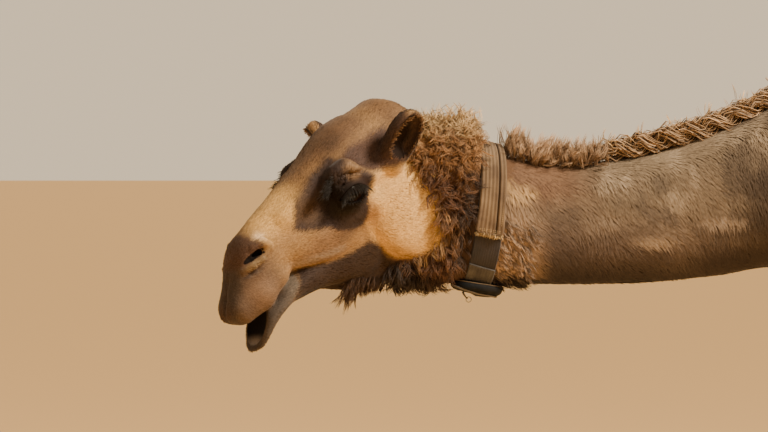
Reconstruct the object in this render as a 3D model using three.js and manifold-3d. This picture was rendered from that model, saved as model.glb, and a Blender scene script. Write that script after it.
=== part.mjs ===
// A life-size standing dromedary camel with its neck stretched forward and low, its head turned
// to its left and its mouth a little open, wearing a webbing collar. Millimetres, +Z up. The origin
// is on the floor under the middle of its whole length. It faces -X and its left side is -Y. All
// sizes are to the outside of the coat.
import * as THREE from "three";
import { mergeVertices } from "three/addons/utils/BufferGeometryUtils.js";
import Module from "manifold-3d";

const wasm = await Module();
wasm.setup();

// ---- Driving dimensions ----
const GAP = 0.4; // left between pieces that touch
const HEAD_AT = [-1273, -100, 1326]; // midway between the eyes
const HEAD_YAW = THREE.MathUtils.degToRad(35); // turned to the animal's left
const HEAD_PITCH = THREE.MathUtils.degToRad(36.4); // nose down
const EYE = { at: [-8, 67, -8], radius: 30, opening: [31, 34, 19] };
const EAR = { half: [18, 30, 54], hollow: [14, 23, 43], hollowShift: [14, 0, 8] };
const EAR_TIPS = { left: [-178, 120, 47], right: [-136, -146, 50] };
const EAR_ROOTS = { left: [-112, 76, -8], right: [-108, -74, -10] };
const WOOL = { at: [-1042, -6, 1362], half: [74, 92, 111] }; // on the nape, in front of the collar
const COLLAR = { at: [-983, 0, 1282], wide: 50, thick: 4, tilt: 0.11, yaw: 0.2 };
const STRAP_END = { top: 1392, bottom: 1246 };
const POUCH = { at: [-996, -8, 1158], half: [46, 42, 19] };
const RING = { at: [-1020, -24, 1134], radius: 7, wire: 1.4 };
const GAIT = { foreLeft: -45, foreRight: 40, hindLeft: 50, hindRight: -45 }; // foot shifts along X
const STRAIGHT_ABOVE = 1150; // height above which a shifted leg doesn't lean
const FOOT_TOP = 118;
const BREAST_PAD = { at: [120, 0, 1014], half: [95, 72, 36] };
const NAIL = { apart: 27, up: 22, half: [17, 14, 16] };

// A section square to X: its place, top and bottom heights, half width, how much slimmer it is
// on top, and the y of its middle.
function across(name, at, top, bottom, half, narrow = 0, middle = 0) {
  return { name, at, top, bottom, half, narrow, middle };
}

// A section square to Z: its height, its middle, its half length along X and half width along Y.
function level(name, at, x, y, long, wide) {
  return { name, at, x, y, long, wide };
}

// ---- Body and neck, from inside the skull to the rump ----
const BODY = [
  across("in the skull", -1170, 1420, 1270, 30, 0, -28),
  across("nape", -1120, 1446, 1214, 62, 0, -16),
  across("throat", -1060, 1436, 1180, 74, 0, -4),
  across("collar", -980, 1408, 1158, 73),
  across("lowest neck", -850, 1382, 1154, 74, 0.05),
  across("mid neck", -707, 1398, 1157, 82, 0.1),
  across("lower neck", -590, 1434, 1167, 93, 0.15),
  across("neck base", -465, 1492, 1184, 110, 0.2),
  across("breast", -340, 1570, 1180, 142, 0.28),
  across("shoulder point", -225, 1662, 1108, 186, 0.34),
  across("shoulder", -100, 1750, 1030, 220, 0.36),
  across("withers", 40, 1802, 1000, 238, 0.34),
  across("girth", 190, 1810, 1012, 256, 0.28),
  across("ribs", 400, 1808, 1046, 282, 0.2),
  across("belly", 610, 1806, 1100, 286, 0.16),
  across("flank", 820, 1798, 1176, 262, 0.14),
  across("loin", 980, 1786, 1240, 232, 0.14),
  across("hip", 1110, 1758, 1280, 212, 0.16),
  across("croup", 1230, 1694, 1310, 178, 0.14),
  across("seat", 1320, 1606, 1352, 122, 0.1),
  across("rump end", 1362, 1520, 1420, 40),
];
const MANE = [
  across("collar side", -942, 1412, 1340, 16),
  across("first curls", -910, 1425, 1340, 34, 0.2),
  across("curls", -770, 1424, 1340, 36, 0.2),
  across("braid start", -710, 1424, 1350, 30, 0.2),
  across("braid", -590, 1460, 1380, 28, 0.2),
  across("crest", -465, 1520, 1430, 28, 0.2),
  across("shoulder end", -225, 1682, 1580, 28, 0.2),
  across("withers end", 0, 1806, 1700, 24, 0.2),
];
const THROAT_HAIR = [
  across("chin side", -1270, 1200, 1160, 10, 0, -82),
  across("chin tuft", -1232, 1226, 1122, 26, -0.2, -66),
  across("between", -1192, 1240, 1158, 34, 0, -44),
  across("throat", -1140, 1250, 1140, 46, -0.1, -16),
  across("fringe", -1080, 1250, 1137, 50, -0.1, -4),
  across("collar front", -1025, 1230, 1146, 30),
];

// ---- Upright pieces ----
const HUMP = [
  level("in the back", 1690, 530, 0, 380, 176),
  level("foot", 1780, 534, 0, 352, 170),
  level("slope", 1890, 544, 0, 288, 142),
  level("upper slope", 1990, 558, 0, 214, 108),
  level("crown", 2070, 572, 0, 136, 72),
  level("peak", 2112, 578, 0, 62, 34),
];
const TAIL = [
  level("dock", 1610, 1312, 0, 58, 50),
  level("dock end", 1540, 1362, 0, 40, 40),
  level("tail", 1420, 1402, 0, 27, 27),
  level("lower tail", 1260, 1416, 0, 22, 22),
  level("tuft", 1120, 1418, 0, 34, 26),
  level("tuft end", 1030, 1412, 0, 24, 18),
  level("tuft tip", 960, 1406, 0, 7, 6),
];
const FORELEG = [
  level("shoulder blade", 1560, -40, 118, 70, 44),
  level("upper arm", 1420, -65, 168, 122, 68),
  level("arm", 1290, -42, 180, 126, 70),
  level("elbow", 1150, 28, 186, 102, 64),
  level("forearm", 1020, 24, 182, 80, 54),
  level("lower forearm", 850, 10, 174, 58, 44),
  level("above the knee", 715, 0, 167, 50, 43),
  level("knee", 615, -6, 163, 60, 54),
  level("below the knee", 530, 2, 162, 45, 42),
  level("shin", 400, 4, 160, 35, 33),
  level("lower shin", 270, 2, 158, 36, 34),
  level("fetlock", 190, -2, 157, 45, 43),
  level("pastern", 130, -16, 157, 50, 48),
  level("instep", 85, -38, 157, 78, 70),
  level("pad", 40, -48, 157, 104, 92),
  level("sole", 0, -48, 157, 98, 88),
];
const HINDLEG = [
  level("haunch", 1640, 1110, 104, 120, 56),
  level("upper thigh", 1500, 1110, 142, 190, 88),
  level("thigh", 1340, 1080, 160, 206, 96),
  level("lower thigh", 1210, 1040, 170, 170, 90),
  level("stifle", 1095, 1008, 172, 126, 74),
  level("second thigh", 985, 1056, 170, 98, 60),
  level("lower leg", 880, 1112, 168, 76, 47),
  level("above the hock", 790, 1166, 165, 68, 39),
  level("hock", 715, 1204, 164, 70, 43),
  level("below the hock", 640, 1210, 163, 52, 40),
  level("hind shin", 540, 1202, 162, 39, 35),
  level("lower hind shin", 330, 1178, 160, 36, 33),
  level("hind fetlock", 200, 1164, 159, 45, 42),
  level("hind pastern", 135, 1148, 159, 48, 46),
  level("hind instep", 85, 1126, 159, 72, 64),
  level("hind pad", 38, 1114, 159, 95, 84),
  level("hind sole", 0, 1114, 159, 90, 80),
];

// ---- Head, in its own frame: X runs to the nose, Y to its left and Z to the brow ----
const SKULL = [
  across("occiput", -232, 2, -60, 30),
  across("poll", -205, 48, -110, 64),
  across("crown", -155, 76, -122, 82, 0.1),
  across("temple", -105, 90, -118, 86, 0.18),
  across("forehead", -50, 88, -112, 88, 0.1),
  across("brow", 0, 76, -104, 82, 0.02),
  across("cheek", 50, 64, -90, 66, 0.18),
  across("nose bridge", 100, 56, -74, 56, 0.26),
  across("mouth corner", 148, 47, -64, 51, 0.24),
  across("nostril base", 188, 38, -82, 50, 0.1),
  across("nostril", 222, 22, -95, 49, 0.02),
  across("nose tip", 246, 0, -94, 44),
  across("upper lip", 268, -26, -86, 35),
  across("lip end", 282, -46, -72, 16),
];
const MANDIBLE = [
  across("jaw end", -104, -60, -150, 40),
  across("jaw angle", -72, -50, -188, 62, -0.1),
  across("jaw", -20, -50, -180, 66, -0.1),
  across("mid jaw", 40, -56, -154, 56),
  across("chin base", 100, -66, -130, 44),
  across("chin", 150, -72, -116, 38),
  across("lip root", 195, -90, -114, 34),
  across("lower lip", 232, -106, -130, 31),
  across("lip rim", 256, -118, -141, 25),
  across("lip tip", 272, -126, -138, 10),
];

// ---- Solids over sections ----
// A sphere whose rings are moved onto the sections; point(section, angle) is a point of a ring.
function over(rings, sides, point) {
  const geometry = new THREE.SphereGeometry(1, sides, rings.length + 1);
  const place = geometry.getAttribute("position");
  for (let row = 0; row <= rings.length + 1; row++) {
    const ring = rings[THREE.MathUtils.clamp(row - 1, 0, rings.length - 1)];
    const pole = row === 0 || row === rings.length + 1;
    const middle = new THREE.Vector3();
    const around = [];
    for (let i = 0; i < sides; i++) around.push(point(ring, (i / sides) * 2 * Math.PI));
    around.forEach((p) => middle.addScaledVector(p, 1 / sides));
    for (let i = 0; i <= sides; i++)
      place.setXYZ(row * (sides + 1) + i, ...(pole ? middle : around[i % sides]));
  }
  return solid(geometry);
}

// Sections square to X; grow adds to every half size.
function alongX(rows, sides, grow = 0) {
  return over(rows, sides, (s, angle) => {
    const up = Math.sin(angle);
    const wide = (s.half + grow) * (1 - s.narrow * up);
    const high = (s.top - s.bottom) / 2 + grow;
    const centre = (s.top + s.bottom) / 2;
    return new THREE.Vector3(s.at, s.middle + Math.cos(angle) * wide, centre + up * high);
  });
}

// Sections square to Z; side is 1 for the animal's right, -1 for its left; shift moves the foot.
function alongZ(rows, sides, side = 1, shift = 0) {
  return over(rows, sides, (s, angle) => {
    const lean = shift * THREE.MathUtils.smoothstep(STRAIGHT_ABOVE - s.at, 0, STRAIGHT_ABOVE);
    const x = s.x + lean + Math.cos(angle) * s.long;
    return new THREE.Vector3(x, side * s.y + Math.sin(angle) * s.wide, s.at);
  });
}

function solid(geometry) {
  const bare = geometry.clone();
  for (const name of Object.keys(bare.attributes)) if (name !== "position") bare.deleteAttribute(name);
  const merged = mergeVertices(bare, 1e-3);
  const corners = [];
  for (let i = 0; i < merged.index.count; i += 3) {
    const [a, b, c] = [0, 1, 2].map((k) => merged.index.getX(i + k));
    if (a !== b && b !== c && c !== a) corners.push([a, b, c]);
  }
  const make = (triangles) =>
    new wasm.Manifold(
      new wasm.Mesh({
        numProp: 3,
        vertProperties: new Float32Array(merged.getAttribute("position").array),
        triVerts: new Uint32Array(triangles.flat()),
      }),
    );
  const made = make(corners);
  return made.volume() > 0 ? made : make(corners.map(([a, b, c]) => [b, a, c]));
}

const placement = (at, turn = new THREE.Euler()) =>
  new THREE.Matrix4().makeRotationFromEuler(turn).setPosition(...at);

function block(size, at, turn) {
  return solid(new THREE.BoxGeometry(...size).applyMatrix4(placement(at, turn)));
}

function ellipsoid(radii, at, turn, sides = 8) {
  const ball = new THREE.SphereGeometry(1, sides, Math.round(sides * 0.6)).scale(...radii);
  return solid(ball.applyMatrix4(placement(at, turn)));
}

// An outline in the X-Z plane, pulled across from one y to another.
function slab(outline, from, to) {
  const shape = new THREE.Shape(outline.map(([x, z]) => new THREE.Vector2(x, z)));
  const plate = new THREE.ExtrudeGeometry(shape, { depth: to - from, bevelEnabled: false });
  return solid(plate.rotateX(Math.PI / 2).translate(0, to, 0));
}

// Everything on the -X side of a turned plane through a point, or `off` millimetres beyond it.
const REACH = 5000;
function before(at, turn, off = 0) {
  const back = new THREE.Vector3(off - REACH / 2, 0, 0).applyEuler(turn);
  return block([REACH, REACH, REACH], new THREE.Vector3(...at).add(back), turn);
}

const joined = (...solids) => solids.reduce((all, one) => all.add(one));

const biggest = (made) => made.decompose().sort((a, b) => b.volume() - a.volume())[0];
const grown = (radii, grow) => radii.map((radius) => radius + grow);

// ---- The head's flesh ----
const SIDES = [
  ["left", 1],
  ["right", -1],
];
const headFrame = new THREE.Matrix4()
  .makeTranslation(...HEAD_AT)
  .multiply(new THREE.Matrix4().makeRotationZ(Math.PI + HEAD_YAW))
  .multiply(new THREE.Matrix4().makeRotationY(HEAD_PITCH));
const onNeck = (made) => made.transform(headFrame.elements);

function orbit(side, grow) {
  const browTurn = new THREE.Euler(0, -0.9, 0);
  const boneTurn = new THREE.Euler(0, 0.25, side * -0.3);
  return joined(
    ellipsoid(grown([38, 17, 17], grow), [-34, side * 79, 27], browTurn),
    ellipsoid(grown([41, 22, 34], grow), [-5, side * 77, -8]),
    ellipsoid(grown([62, 16, 20], grow), [24, side * 65, -44], boneTurn),
  );
}

function chewingMuscle(side, grow) {
  return ellipsoid(grown([70, 28, 88], grow), [-80, side * 58, -92], new THREE.Euler(0, -0.18, 0));
}

function skull(grow) {
  const bumps = SIDES.flatMap(([, side]) => [orbit(side, grow), chewingMuscle(side, grow)]);
  return onNeck(joined(alongX(SKULL, 16, grow), ...bumps));
}

const nostril = (side) =>
  ellipsoid([25, 12, 6], [210, side * 47, 6], new THREE.Euler(side * 0.5, -0.15, side * -0.3));
const mouth = ellipsoid([60, 26, 15], [240, 0, -100], new THREE.Euler(0, 0.42, 0));

function eyeball(side, grow) {
  const [ahead, across, up] = EYE.at;
  return ellipsoid(Array(3).fill(EYE.radius + grow), [ahead, side * across, up], undefined, 12);
}

function eyeOpening(side) {
  const [ahead, across, up] = EYE.at;
  return ellipsoid(EYE.opening, [ahead, side * (across + 22), up], new THREE.Euler(0, 0.2, 0));
}


// An ear's frame: its Z runs from root to tip, and its X out of the cup.
function earFrame(name) {
  const root = new THREE.Vector3(...EAR_ROOTS[name]);
  const tip = new THREE.Vector3(...EAR_TIPS[name]);
  const length = tip.clone().sub(root).normalize();
  const out = new THREE.Vector3(0.1, name === "left" ? 0.95 : -0.95, -0.1);
  out.addScaledVector(length, -out.dot(length)).normalize();
  const centre = root.add(tip).multiplyScalar(0.5);
  const breadth = length.clone().cross(out);
  return new THREE.Matrix4().makeBasis(out, breadth, length).setPosition(centre);
}

function earSpace(name, grow) {
  return ellipsoid(grown(EAR.half, grow), [0, 0, 0]).transform(earFrame(name).elements);
}

function ear(name) {
  const hollow = ellipsoid(EAR.hollow, EAR.hollowShift).transform(earFrame(name).elements);
  return onNeck(earSpace(name, 0).subtract(hollow));
}

// ---- The collar ----
const collarTurn = new THREE.Euler(0, COLLAR.tilt, COLLAR.yaw, "ZYX");
const collarSlice = (wide) => block([wide, 500, 500], COLLAR.at, collarTurn);
const neck = (grow) => alongX(BODY, 16, grow);
const sleeve = (inner, outer) => neck(outer).subtract(neck(inner));
const band = sleeve(GAP, GAP + COLLAR.thick).intersect(collarSlice(COLLAR.wide));
const strapHeight = STRAP_END.top - STRAP_END.bottom;
const strapSpace = block(
  [300, 300, strapHeight],
  [COLLAR.at[0], -152, (STRAP_END.top + STRAP_END.bottom) / 2],
);
const strapEnd = sleeve(2 * GAP + COLLAR.thick, 2 * GAP + 2 * COLLAR.thick)
  .intersect(collarSlice(COLLAR.wide - 4))
  .intersect(strapSpace);
const pouch = (grow) =>
  ellipsoid(grown(POUCH.half, grow), POUCH.at, collarTurn, 12).subtract(
    neck(2 * GAP + COLLAR.thick - grow),
  );
const ring = solid(
  new THREE.TorusGeometry(RING.radius, RING.wire, 5, 12).applyMatrix4(
    placement(RING.at, new THREE.Euler(Math.PI / 2, 0, 0)),
  ),
);

// ---- The whole animal's flesh ----
const BELLY = 950; // below the whole trunk

// Where a leg's root meets the trunk: an outline seen from the side, and how far it keeps from
// the middle plane. Below the belly the leg has all the space on its side.
const FORE_ROOT = {
  inner: 96,
  outline: [
    [-120, BELLY],
    [160, BELLY],
    [132, 1136],
    [-92, 1136],
  ],
};
const HIND_ROOT = {
  inner: 70,
  outline: [
    [850, BELLY],
    [1380, BELLY],
    [1380, 1470],
    [1210, 1590],
    [1000, 1560],
    [850, 1250],
  ],
};

const LEGS = [
  { end: "fore", hand: "left", rows: FORELEG, root: FORE_ROOT, side: -1, shift: GAIT.foreLeft },
  { end: "fore", hand: "right", rows: FORELEG, root: FORE_ROOT, side: 1, shift: GAIT.foreRight },
  { end: "hind", hand: "left", rows: HINDLEG, root: HIND_ROOT, side: -1, shift: GAIT.hindLeft },
  { end: "hind", hand: "right", rows: HINDLEG, root: HIND_ROOT, side: 1, shift: GAIT.hindRight },
];
const collarRoom = collarSlice(COLLAR.wide + 2 * GAP);
const wool = (grow) =>
  ellipsoid(grown(WOOL.half, grow), WOOL.at, undefined, 12)
    .add(alongX(THROAT_HAIR, 8, grow))
    .intersect(before(COLLAR.at, collarTurn))
    .subtract(collarRoom)
    .subtract(pouch(GAP));
const breastPad = ellipsoid(BREAST_PAD.half, BREAST_PAD.at);
const flesh = joined(
  skull(0),
  neck(0),
  wool(0),
  alongX(MANE, 8).subtract(collarRoom),
  breastPad,
  alongZ(HUMP, 16),
  alongZ(TAIL, 8),
  ...LEGS.map(({ rows, side, shift }) => alongZ(rows, 12, side, shift)),
);

// ---- Where it is parted ----
const NAPE = { at: [-1092, 0, 1300], turn: new THREE.Euler(0, 0, 0.38) };
const NECK_ROOT = { at: [-280, 0, 1430], turn: new THREE.Euler(0, 0.37, 0) };
const HUMP_FOOT = 1812;
const DOCK = { at: [1368, 0, 1560], turn: new THREE.Euler(0, Math.PI + 0.3, 0) };

function legSpace({ root, side }, grow) {
  const xs = root.outline.map(([x]) => x);
  const middle = (Math.min(...xs) + Math.max(...xs)) / 2;
  const outline = root.outline.map(([x, z]) => [
    x + Math.sign(x - middle) * grow,
    z > BELLY ? z + grow : z - 1,
  ]);
  const upper = slab(outline, root.inner - grow, 500);
  const lower = block([700, 500, BELLY + 10], [middle, 251 - grow, (BELLY - 10) / 2]);
  return side < 0 ? joined(upper, lower).mirror([0, 1, 0]) : joined(upper, lower);
}

function nails({ rows, side, shift }, grow) {
  const pad = rows[rows.length - 2];
  return [-1, 1].map((toe) =>
    ellipsoid(
      grown(NAIL.half, grow),
      [pad.x + shift - pad.long + 3, side * pad.y + toe * NAIL.apart, NAIL.up],
      undefined,
      6,
    ),
  );
}

function toeCleft({ rows, side, shift }) {
  const pad = rows[rows.length - 2];
  return ellipsoid([52, 5, 60], [pad.x + shift - pad.long, side * pad.y, 22], undefined, 6);
}

// ---- Materials ----
const finish = (color, roughness, metalness = 0) =>
  new THREE.MeshStandardMaterial({ color, roughness, metalness });
const COAT = finish(0xb08a5c, 0.85);
const DARK_COAT = finish(0x7a5638, 0.9);
const HORN = finish(0x3a2c22, 0.5);
const EYEBALL = finish(0x120c08, 0.08);
const WEBBING = finish(0xa8926f, 0.9);
const BLACK_CLOTH = finish(0x14161a, 0.8);
const STEEL = finish(0x9a9892, 0.35, 1);

// ---- The model ----
const camel = new THREE.Group();
camel.name = "camel";

function add(name, made, material) {
  const { numProp, numVert, vertProperties, triVerts } = biggest(made).getMesh();
  const positions = new Float32Array(numVert * 3);
  for (let i = 0; i < numVert; i++)
    positions.set(vertProperties.subarray(i * numProp, i * numProp + 3), i * 3);
  const geometry = new THREE.BufferGeometry();
  geometry.setAttribute("position", new THREE.BufferAttribute(positions, 3));
  geometry.setIndex(new THREE.BufferAttribute(new Uint32Array(triVerts), 1));
  geometry.computeVertexNormals();
  const mesh = new THREE.Mesh(geometry, material);
  mesh.name = name;
  camel.add(mesh);
}

const hollows = SIDES.flatMap(([name, side]) => [
  onNeck(nostril(side)),
  onNeck(eyeball(side, GAP)),
  onNeck(eyeOpening(side)),
  onNeck(earSpace(name, GAP)),
]);
const head = flesh.intersect(before(NAPE.at, NAPE.turn)).subtract(joined(onNeck(mouth), ...hollows));
add("head", head, COAT);
const mandible = onNeck(alongX(MANDIBLE, 12).subtract(mouth));
add("jaw", mandible.subtract(joined(skull(GAP), neck(GAP), wool(GAP))), COAT);
for (const [name, side] of SIDES) {
  add(`ear_${name}`, ear(name), COAT);
  add(`eye_${name}`, onNeck(eyeball(side, 0)), EYEBALL);
}

let body = flesh.subtract(before(NAPE.at, NAPE.turn, GAP));
add("neck", body.intersect(before(NECK_ROOT.at, NECK_ROOT.turn)), COAT);
body = body.subtract(before(NECK_ROOT.at, NECK_ROOT.turn, GAP));
for (const leg of LEGS) {
  const whole = body.intersect(legSpace(leg, 0));
  body = body.subtract(legSpace(leg, GAP));
  const split = block([6000, 6000, 2 * FOOT_TOP], [0, 0, 0]);
  const splitRoom = block([6000, 6000, 2 * (FOOT_TOP + GAP)], [0, 0, 0]);
  add(`${leg.end}leg_${leg.hand}`, whole.subtract(splitRoom), COAT);
  const foot = whole.intersect(split).subtract(joined(toeCleft(leg), ...nails(leg, GAP)));
  const footName = `${leg.end}foot_${leg.hand}`;
  add(footName, foot, COAT);
  nails(leg, 0).forEach((nail, i) => add(`${footName}_nail_${i + 1}`, nail, HORN));
}
const above = (z) => block([3000, 2000, 2000], [0, 0, z + 1000]);
add("hump", body.intersect(above(HUMP_FOOT)), COAT);
body = body.subtract(above(HUMP_FOOT - GAP));
add("tail", body.intersect(before(DOCK.at, DOCK.turn)), DARK_COAT);
add("trunk", body.subtract(before(DOCK.at, DOCK.turn, GAP)), COAT);

add("collar_band", band, WEBBING);
add("collar_strap_end", strapEnd, WEBBING);
add("collar_pouch", pouch(0), BLACK_CLOTH);
add("collar_ring", ring, STEEL);

export default camel;
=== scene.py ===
"""Life-size standing dromedary camel with a webbing collar: its skin, coat, eyes, nails and collar.

Section tables are in millimetres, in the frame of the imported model: +Z up, the animal faces -X and
its left side is -Y. Everything that is made from them is in metres.
"""

import bpy
import numpy as np
from mathutils import Euler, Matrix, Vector


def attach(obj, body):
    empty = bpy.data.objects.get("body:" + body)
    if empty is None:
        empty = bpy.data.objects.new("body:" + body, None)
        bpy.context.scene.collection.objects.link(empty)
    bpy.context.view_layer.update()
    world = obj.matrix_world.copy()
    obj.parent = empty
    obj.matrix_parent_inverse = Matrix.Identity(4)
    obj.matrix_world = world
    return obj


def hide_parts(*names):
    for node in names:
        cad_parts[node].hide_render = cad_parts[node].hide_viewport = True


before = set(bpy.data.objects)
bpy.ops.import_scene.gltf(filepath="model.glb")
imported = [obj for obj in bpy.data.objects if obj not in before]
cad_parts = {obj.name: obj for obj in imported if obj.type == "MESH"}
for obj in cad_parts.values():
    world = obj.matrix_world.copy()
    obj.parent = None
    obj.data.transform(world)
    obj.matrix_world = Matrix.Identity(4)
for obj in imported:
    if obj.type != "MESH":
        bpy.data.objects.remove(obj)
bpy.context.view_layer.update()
MM = 0.001
ROUND = 6.28  # one turn, in radians, where chance picks an angle

# ---- Sizes of the animal, out to the tips of the coat ----
# x, top, bottom, half width, how much slimmer it is on top, y of the middle
BODY = [
    (-1170, 1420, 1270, 30, 0, -28),
    (-1120, 1446, 1214, 62, 0, -16),
    (-1060, 1436, 1180, 74, 0, -4),
    (-980, 1408, 1158, 73, 0, 0),
    (-850, 1382, 1154, 74, 0.05, 0),
    (-707, 1398, 1157, 82, 0.1, 0),
    (-590, 1434, 1167, 93, 0.15, 0),
    (-465, 1492, 1184, 110, 0.2, 0),
    (-340, 1570, 1180, 142, 0.28, 0),
    (-225, 1662, 1108, 186, 0.34, 0),
    (-100, 1750, 1030, 220, 0.36, 0),
    (40, 1802, 1000, 238, 0.34, 0),
    (190, 1810, 1012, 256, 0.28, 0),
    (400, 1808, 1046, 282, 0.2, 0),
    (610, 1806, 1100, 286, 0.16, 0),
    (820, 1798, 1176, 262, 0.14, 0),
    (980, 1786, 1240, 232, 0.14, 0),
    (1110, 1758, 1280, 212, 0.16, 0),
    (1230, 1694, 1310, 178, 0.14, 0),
    (1320, 1606, 1352, 122, 0.1, 0),
    (1362, 1520, 1420, 40, 0, 0),
]
# z, x and y of the middle, half length along X, half width along Y
HUMP = [
    (1690, 530, 0, 380, 176),
    (1780, 534, 0, 352, 170),
    (1890, 544, 0, 288, 142),
    (1990, 558, 0, 214, 108),
    (2070, 572, 0, 136, 72),
    (2112, 578, 0, 62, 34),
]
TAIL = [
    (1610, 1312, 0, 58, 50),
    (1540, 1362, 0, 40, 40),
    (1420, 1402, 0, 27, 27),
    (1260, 1416, 0, 22, 22),
    (1120, 1418, 0, 20, 18),
    (1040, 1412, 0, 14, 12),
]
FORELEG = [
    (1560, -40, 118, 70, 44),
    (1420, -65, 168, 122, 68),
    (1290, -42, 180, 126, 70),
    (1150, 28, 186, 102, 64),
    (1020, 24, 182, 80, 54),
    (850, 10, 174, 58, 44),
    (715, 0, 167, 50, 43),
    (615, -6, 163, 60, 54),
    (530, 2, 162, 45, 42),
    (400, 4, 160, 35, 33),
    (270, 2, 158, 36, 34),
    (190, -2, 157, 45, 43),
    (130, -16, 157, 50, 48),
    (85, -38, 157, 78, 70),
    (40, -48, 157, 104, 92),
    (0, -48, 157, 98, 88),
]
HINDLEG = [
    (1640, 1110, 104, 120, 56),
    (1500, 1110, 142, 190, 88),
    (1340, 1080, 160, 206, 96),
    (1210, 1040, 170, 170, 90),
    (1095, 1008, 172, 126, 74),
    (985, 1056, 170, 98, 60),
    (880, 1112, 168, 76, 47),
    (790, 1166, 165, 68, 39),
    (715, 1204, 164, 70, 43),
    (640, 1210, 163, 52, 40),
    (540, 1202, 162, 39, 35),
    (330, 1178, 160, 36, 33),
    (200, 1164, 159, 45, 42),
    (135, 1148, 159, 48, 46),
    (85, 1126, 159, 72, 64),
    (38, 1114, 159, 95, 84),
    (0, 1114, 159, 90, 80),
]
# the hollow under the jaw, filled by skin and hair: sections as in BODY
THROAT = [
    (-1296, 1180, 1156, 12, 0, -100),
    (-1262, 1215, 1154, 22, 0, -82),
    (-1225, 1235, 1152, 34, 0, -64),
    (-1192, 1250, 1155, 40, 0, -44),
    (-1150, 1260, 1166, 46, -0.1, -24),
    (-1110, 1262, 1163, 50, -0.1, -10),
    (-1060, 1260, 1161, 54, -0.1, -3),
    (-1022, 1250, 1164, 50, 0, 0),
]
STRAIGHT_ABOVE = 1.150  # a leg doesn't lean above this height
LEGS = [  # sections, side, how far the foot is shifted along X
    ("foreleg_left", FORELEG, -1, -0.045),
    ("foreleg_right", FORELEG, 1, 0.040),
    ("hindleg_left", HINDLEG, -1, 0.050),
    ("hindleg_right", HINDLEG, 1, -0.045),
]

# The head has its own frame, midway between the eyes: forward to the nose, to its left, to the brow.
HEAD_AT = np.array([-1.273, -0.100, 1.326])
HEAD_TURN = Euler((0, np.radians(36.4), np.pi + np.radians(35)))
HEAD_AXES = np.array(HEAD_TURN.to_matrix().transposed())
# forward, top, bottom, half width, how much slimmer it is on top, middle
SKULL = [
    (-232, 2, -60, 28, 0, 0),
    (-205, 51, -110, 60, 0, 0),
    (-175, 70, -118, 69, 0, 0),
    (-152, 73, -122, 74, 0.1, 0),
    (-128, 77, -120, 76, 0.14, 0),
    (-105, 84, -118, 77, 0.16, 0),
    (-78, 87, -115, 77, 0.11, 0),
    (-50, 83, -112, 76, 0.06, 0),
    (0, 70, -104, 70, 0.04, 0),
    (50, 60, -92, 60, 0.14, 0),
    (100, 54, -82, 53, 0.24, 0),
    (148, 47, -74, 48, 0.24, 0),
    (188, 36, -78, 46, 0.12, 0),
    (222, 12, -86, 42, 0.08, 0),
    (246, -13, -88, 38, 0.06, 0),
    (268, -34, -84, 32, 0, 0),
    (282, -50, -72, 16, 0, 0),
]
MANDIBLE = [
    (-104, -60, -150, 40, 0, 0),
    (-72, -50, -188, 60, -0.1, 0),
    (-20, -50, -182, 62, -0.1, 0),
    (40, -56, -164, 54, 0, 0),
    (100, -64, -135, 45, 0, 0),
    (148, -66, -121, 44, 0, 0),
    (172, -70, -116, 44, 0, 0),
    (195, -80, -117, 44, 0, 0),
    (222, -86, -125, 42, 0, 0),
    (242, -101, -134, 37, 0, 0),
    (262, -122, -141, 26, 0, 0),
    (273, -131, -140, 11, 0, 0),
]
EYE_AT, EYE_RADIUS = np.array([-0.008, 0.067, -0.008]), 0.030  # mirrored for the right eye
LID_LONG, LID_HIGH, LID_TILT, LID_RADIUS = 0.0275, 0.0132, 0.19, 0.0345  # the opening's half sizes
LID_CURVE = (LID_LONG**2 + LID_HIGH**2) / (2 * LID_HIGH)  # radius of each lid's edge
EAR_ROOTS = {"left": (-106, 76, -16), "right": (-106, -72, -16)}
EAR_TIPS = {"left": (-173, 120, 39), "right": (-136, -143, 43)}
EAR_FACING = {"left": (0.1, 0.95, -0.1), "right": (0.886, -0.447, -0.12)}  # where its cup opens to
CUP_MIDDLE = (0.012, 0, 0.003)  # of the hollow in an ear, in the ear's own frame
SIDES = (("left", 1), ("right", -1))  # the sign is Y's in the head's frame


def to_head(points):
    """Places of the model, as places in the head's own frame."""
    return (points - HEAD_AT) @ HEAD_AXES.T


def from_head(points):
    """Places in the head's own frame, as places of the model."""
    return np.asarray(points) @ HEAD_AXES + HEAD_AT


# ---- Soft forms: each is a signed distance, in metres, and they melt into one skin ----


def filled(rows, count=150):
    """Section sizes between the named ones, by a cubic that never overshoots them."""
    table = np.array(sorted(rows), float)
    x, y = table[:, 0], table[:, 1:]
    rise = np.diff(y, axis=0) / np.diff(x)[:, None]
    slope = np.vstack([rise[:1], rise])
    product, total = rise[:-1] * rise[1:], rise[:-1] + rise[1:]
    slope[1:-1] = np.where(product > 0, 2 * product / np.where(total == 0, 1, total), 0)
    at = np.linspace(x[0], x[-1], count)
    left = np.clip(np.searchsorted(x, at, side="right") - 1, 0, len(x) - 2)
    span = (x[left + 1] - x[left])[:, None]
    t = (at[:, None] - x[left][:, None]) / span
    value = y[left] * (1 + 2 * t) * (1 - t) ** 2 + y[left + 1] * t * t * (3 - 2 * t)
    value += span * (slope[left] * t * (1 - t) ** 2 - slope[left + 1] * t * t * (1 - t))
    return at * MM, value


def smooth_step(x, low, high):
    """0 below `low` and 1 above `high`, smooth between them."""
    t = np.clip((x - low) / (high - low), 0, 1)
    return t * t * (3 - 2 * t)


def smooth_fall(x, high, low):
    """0 above `high` and 1 below `low`, smooth between them."""
    return smooth_step(-x, -high, -low)


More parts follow.
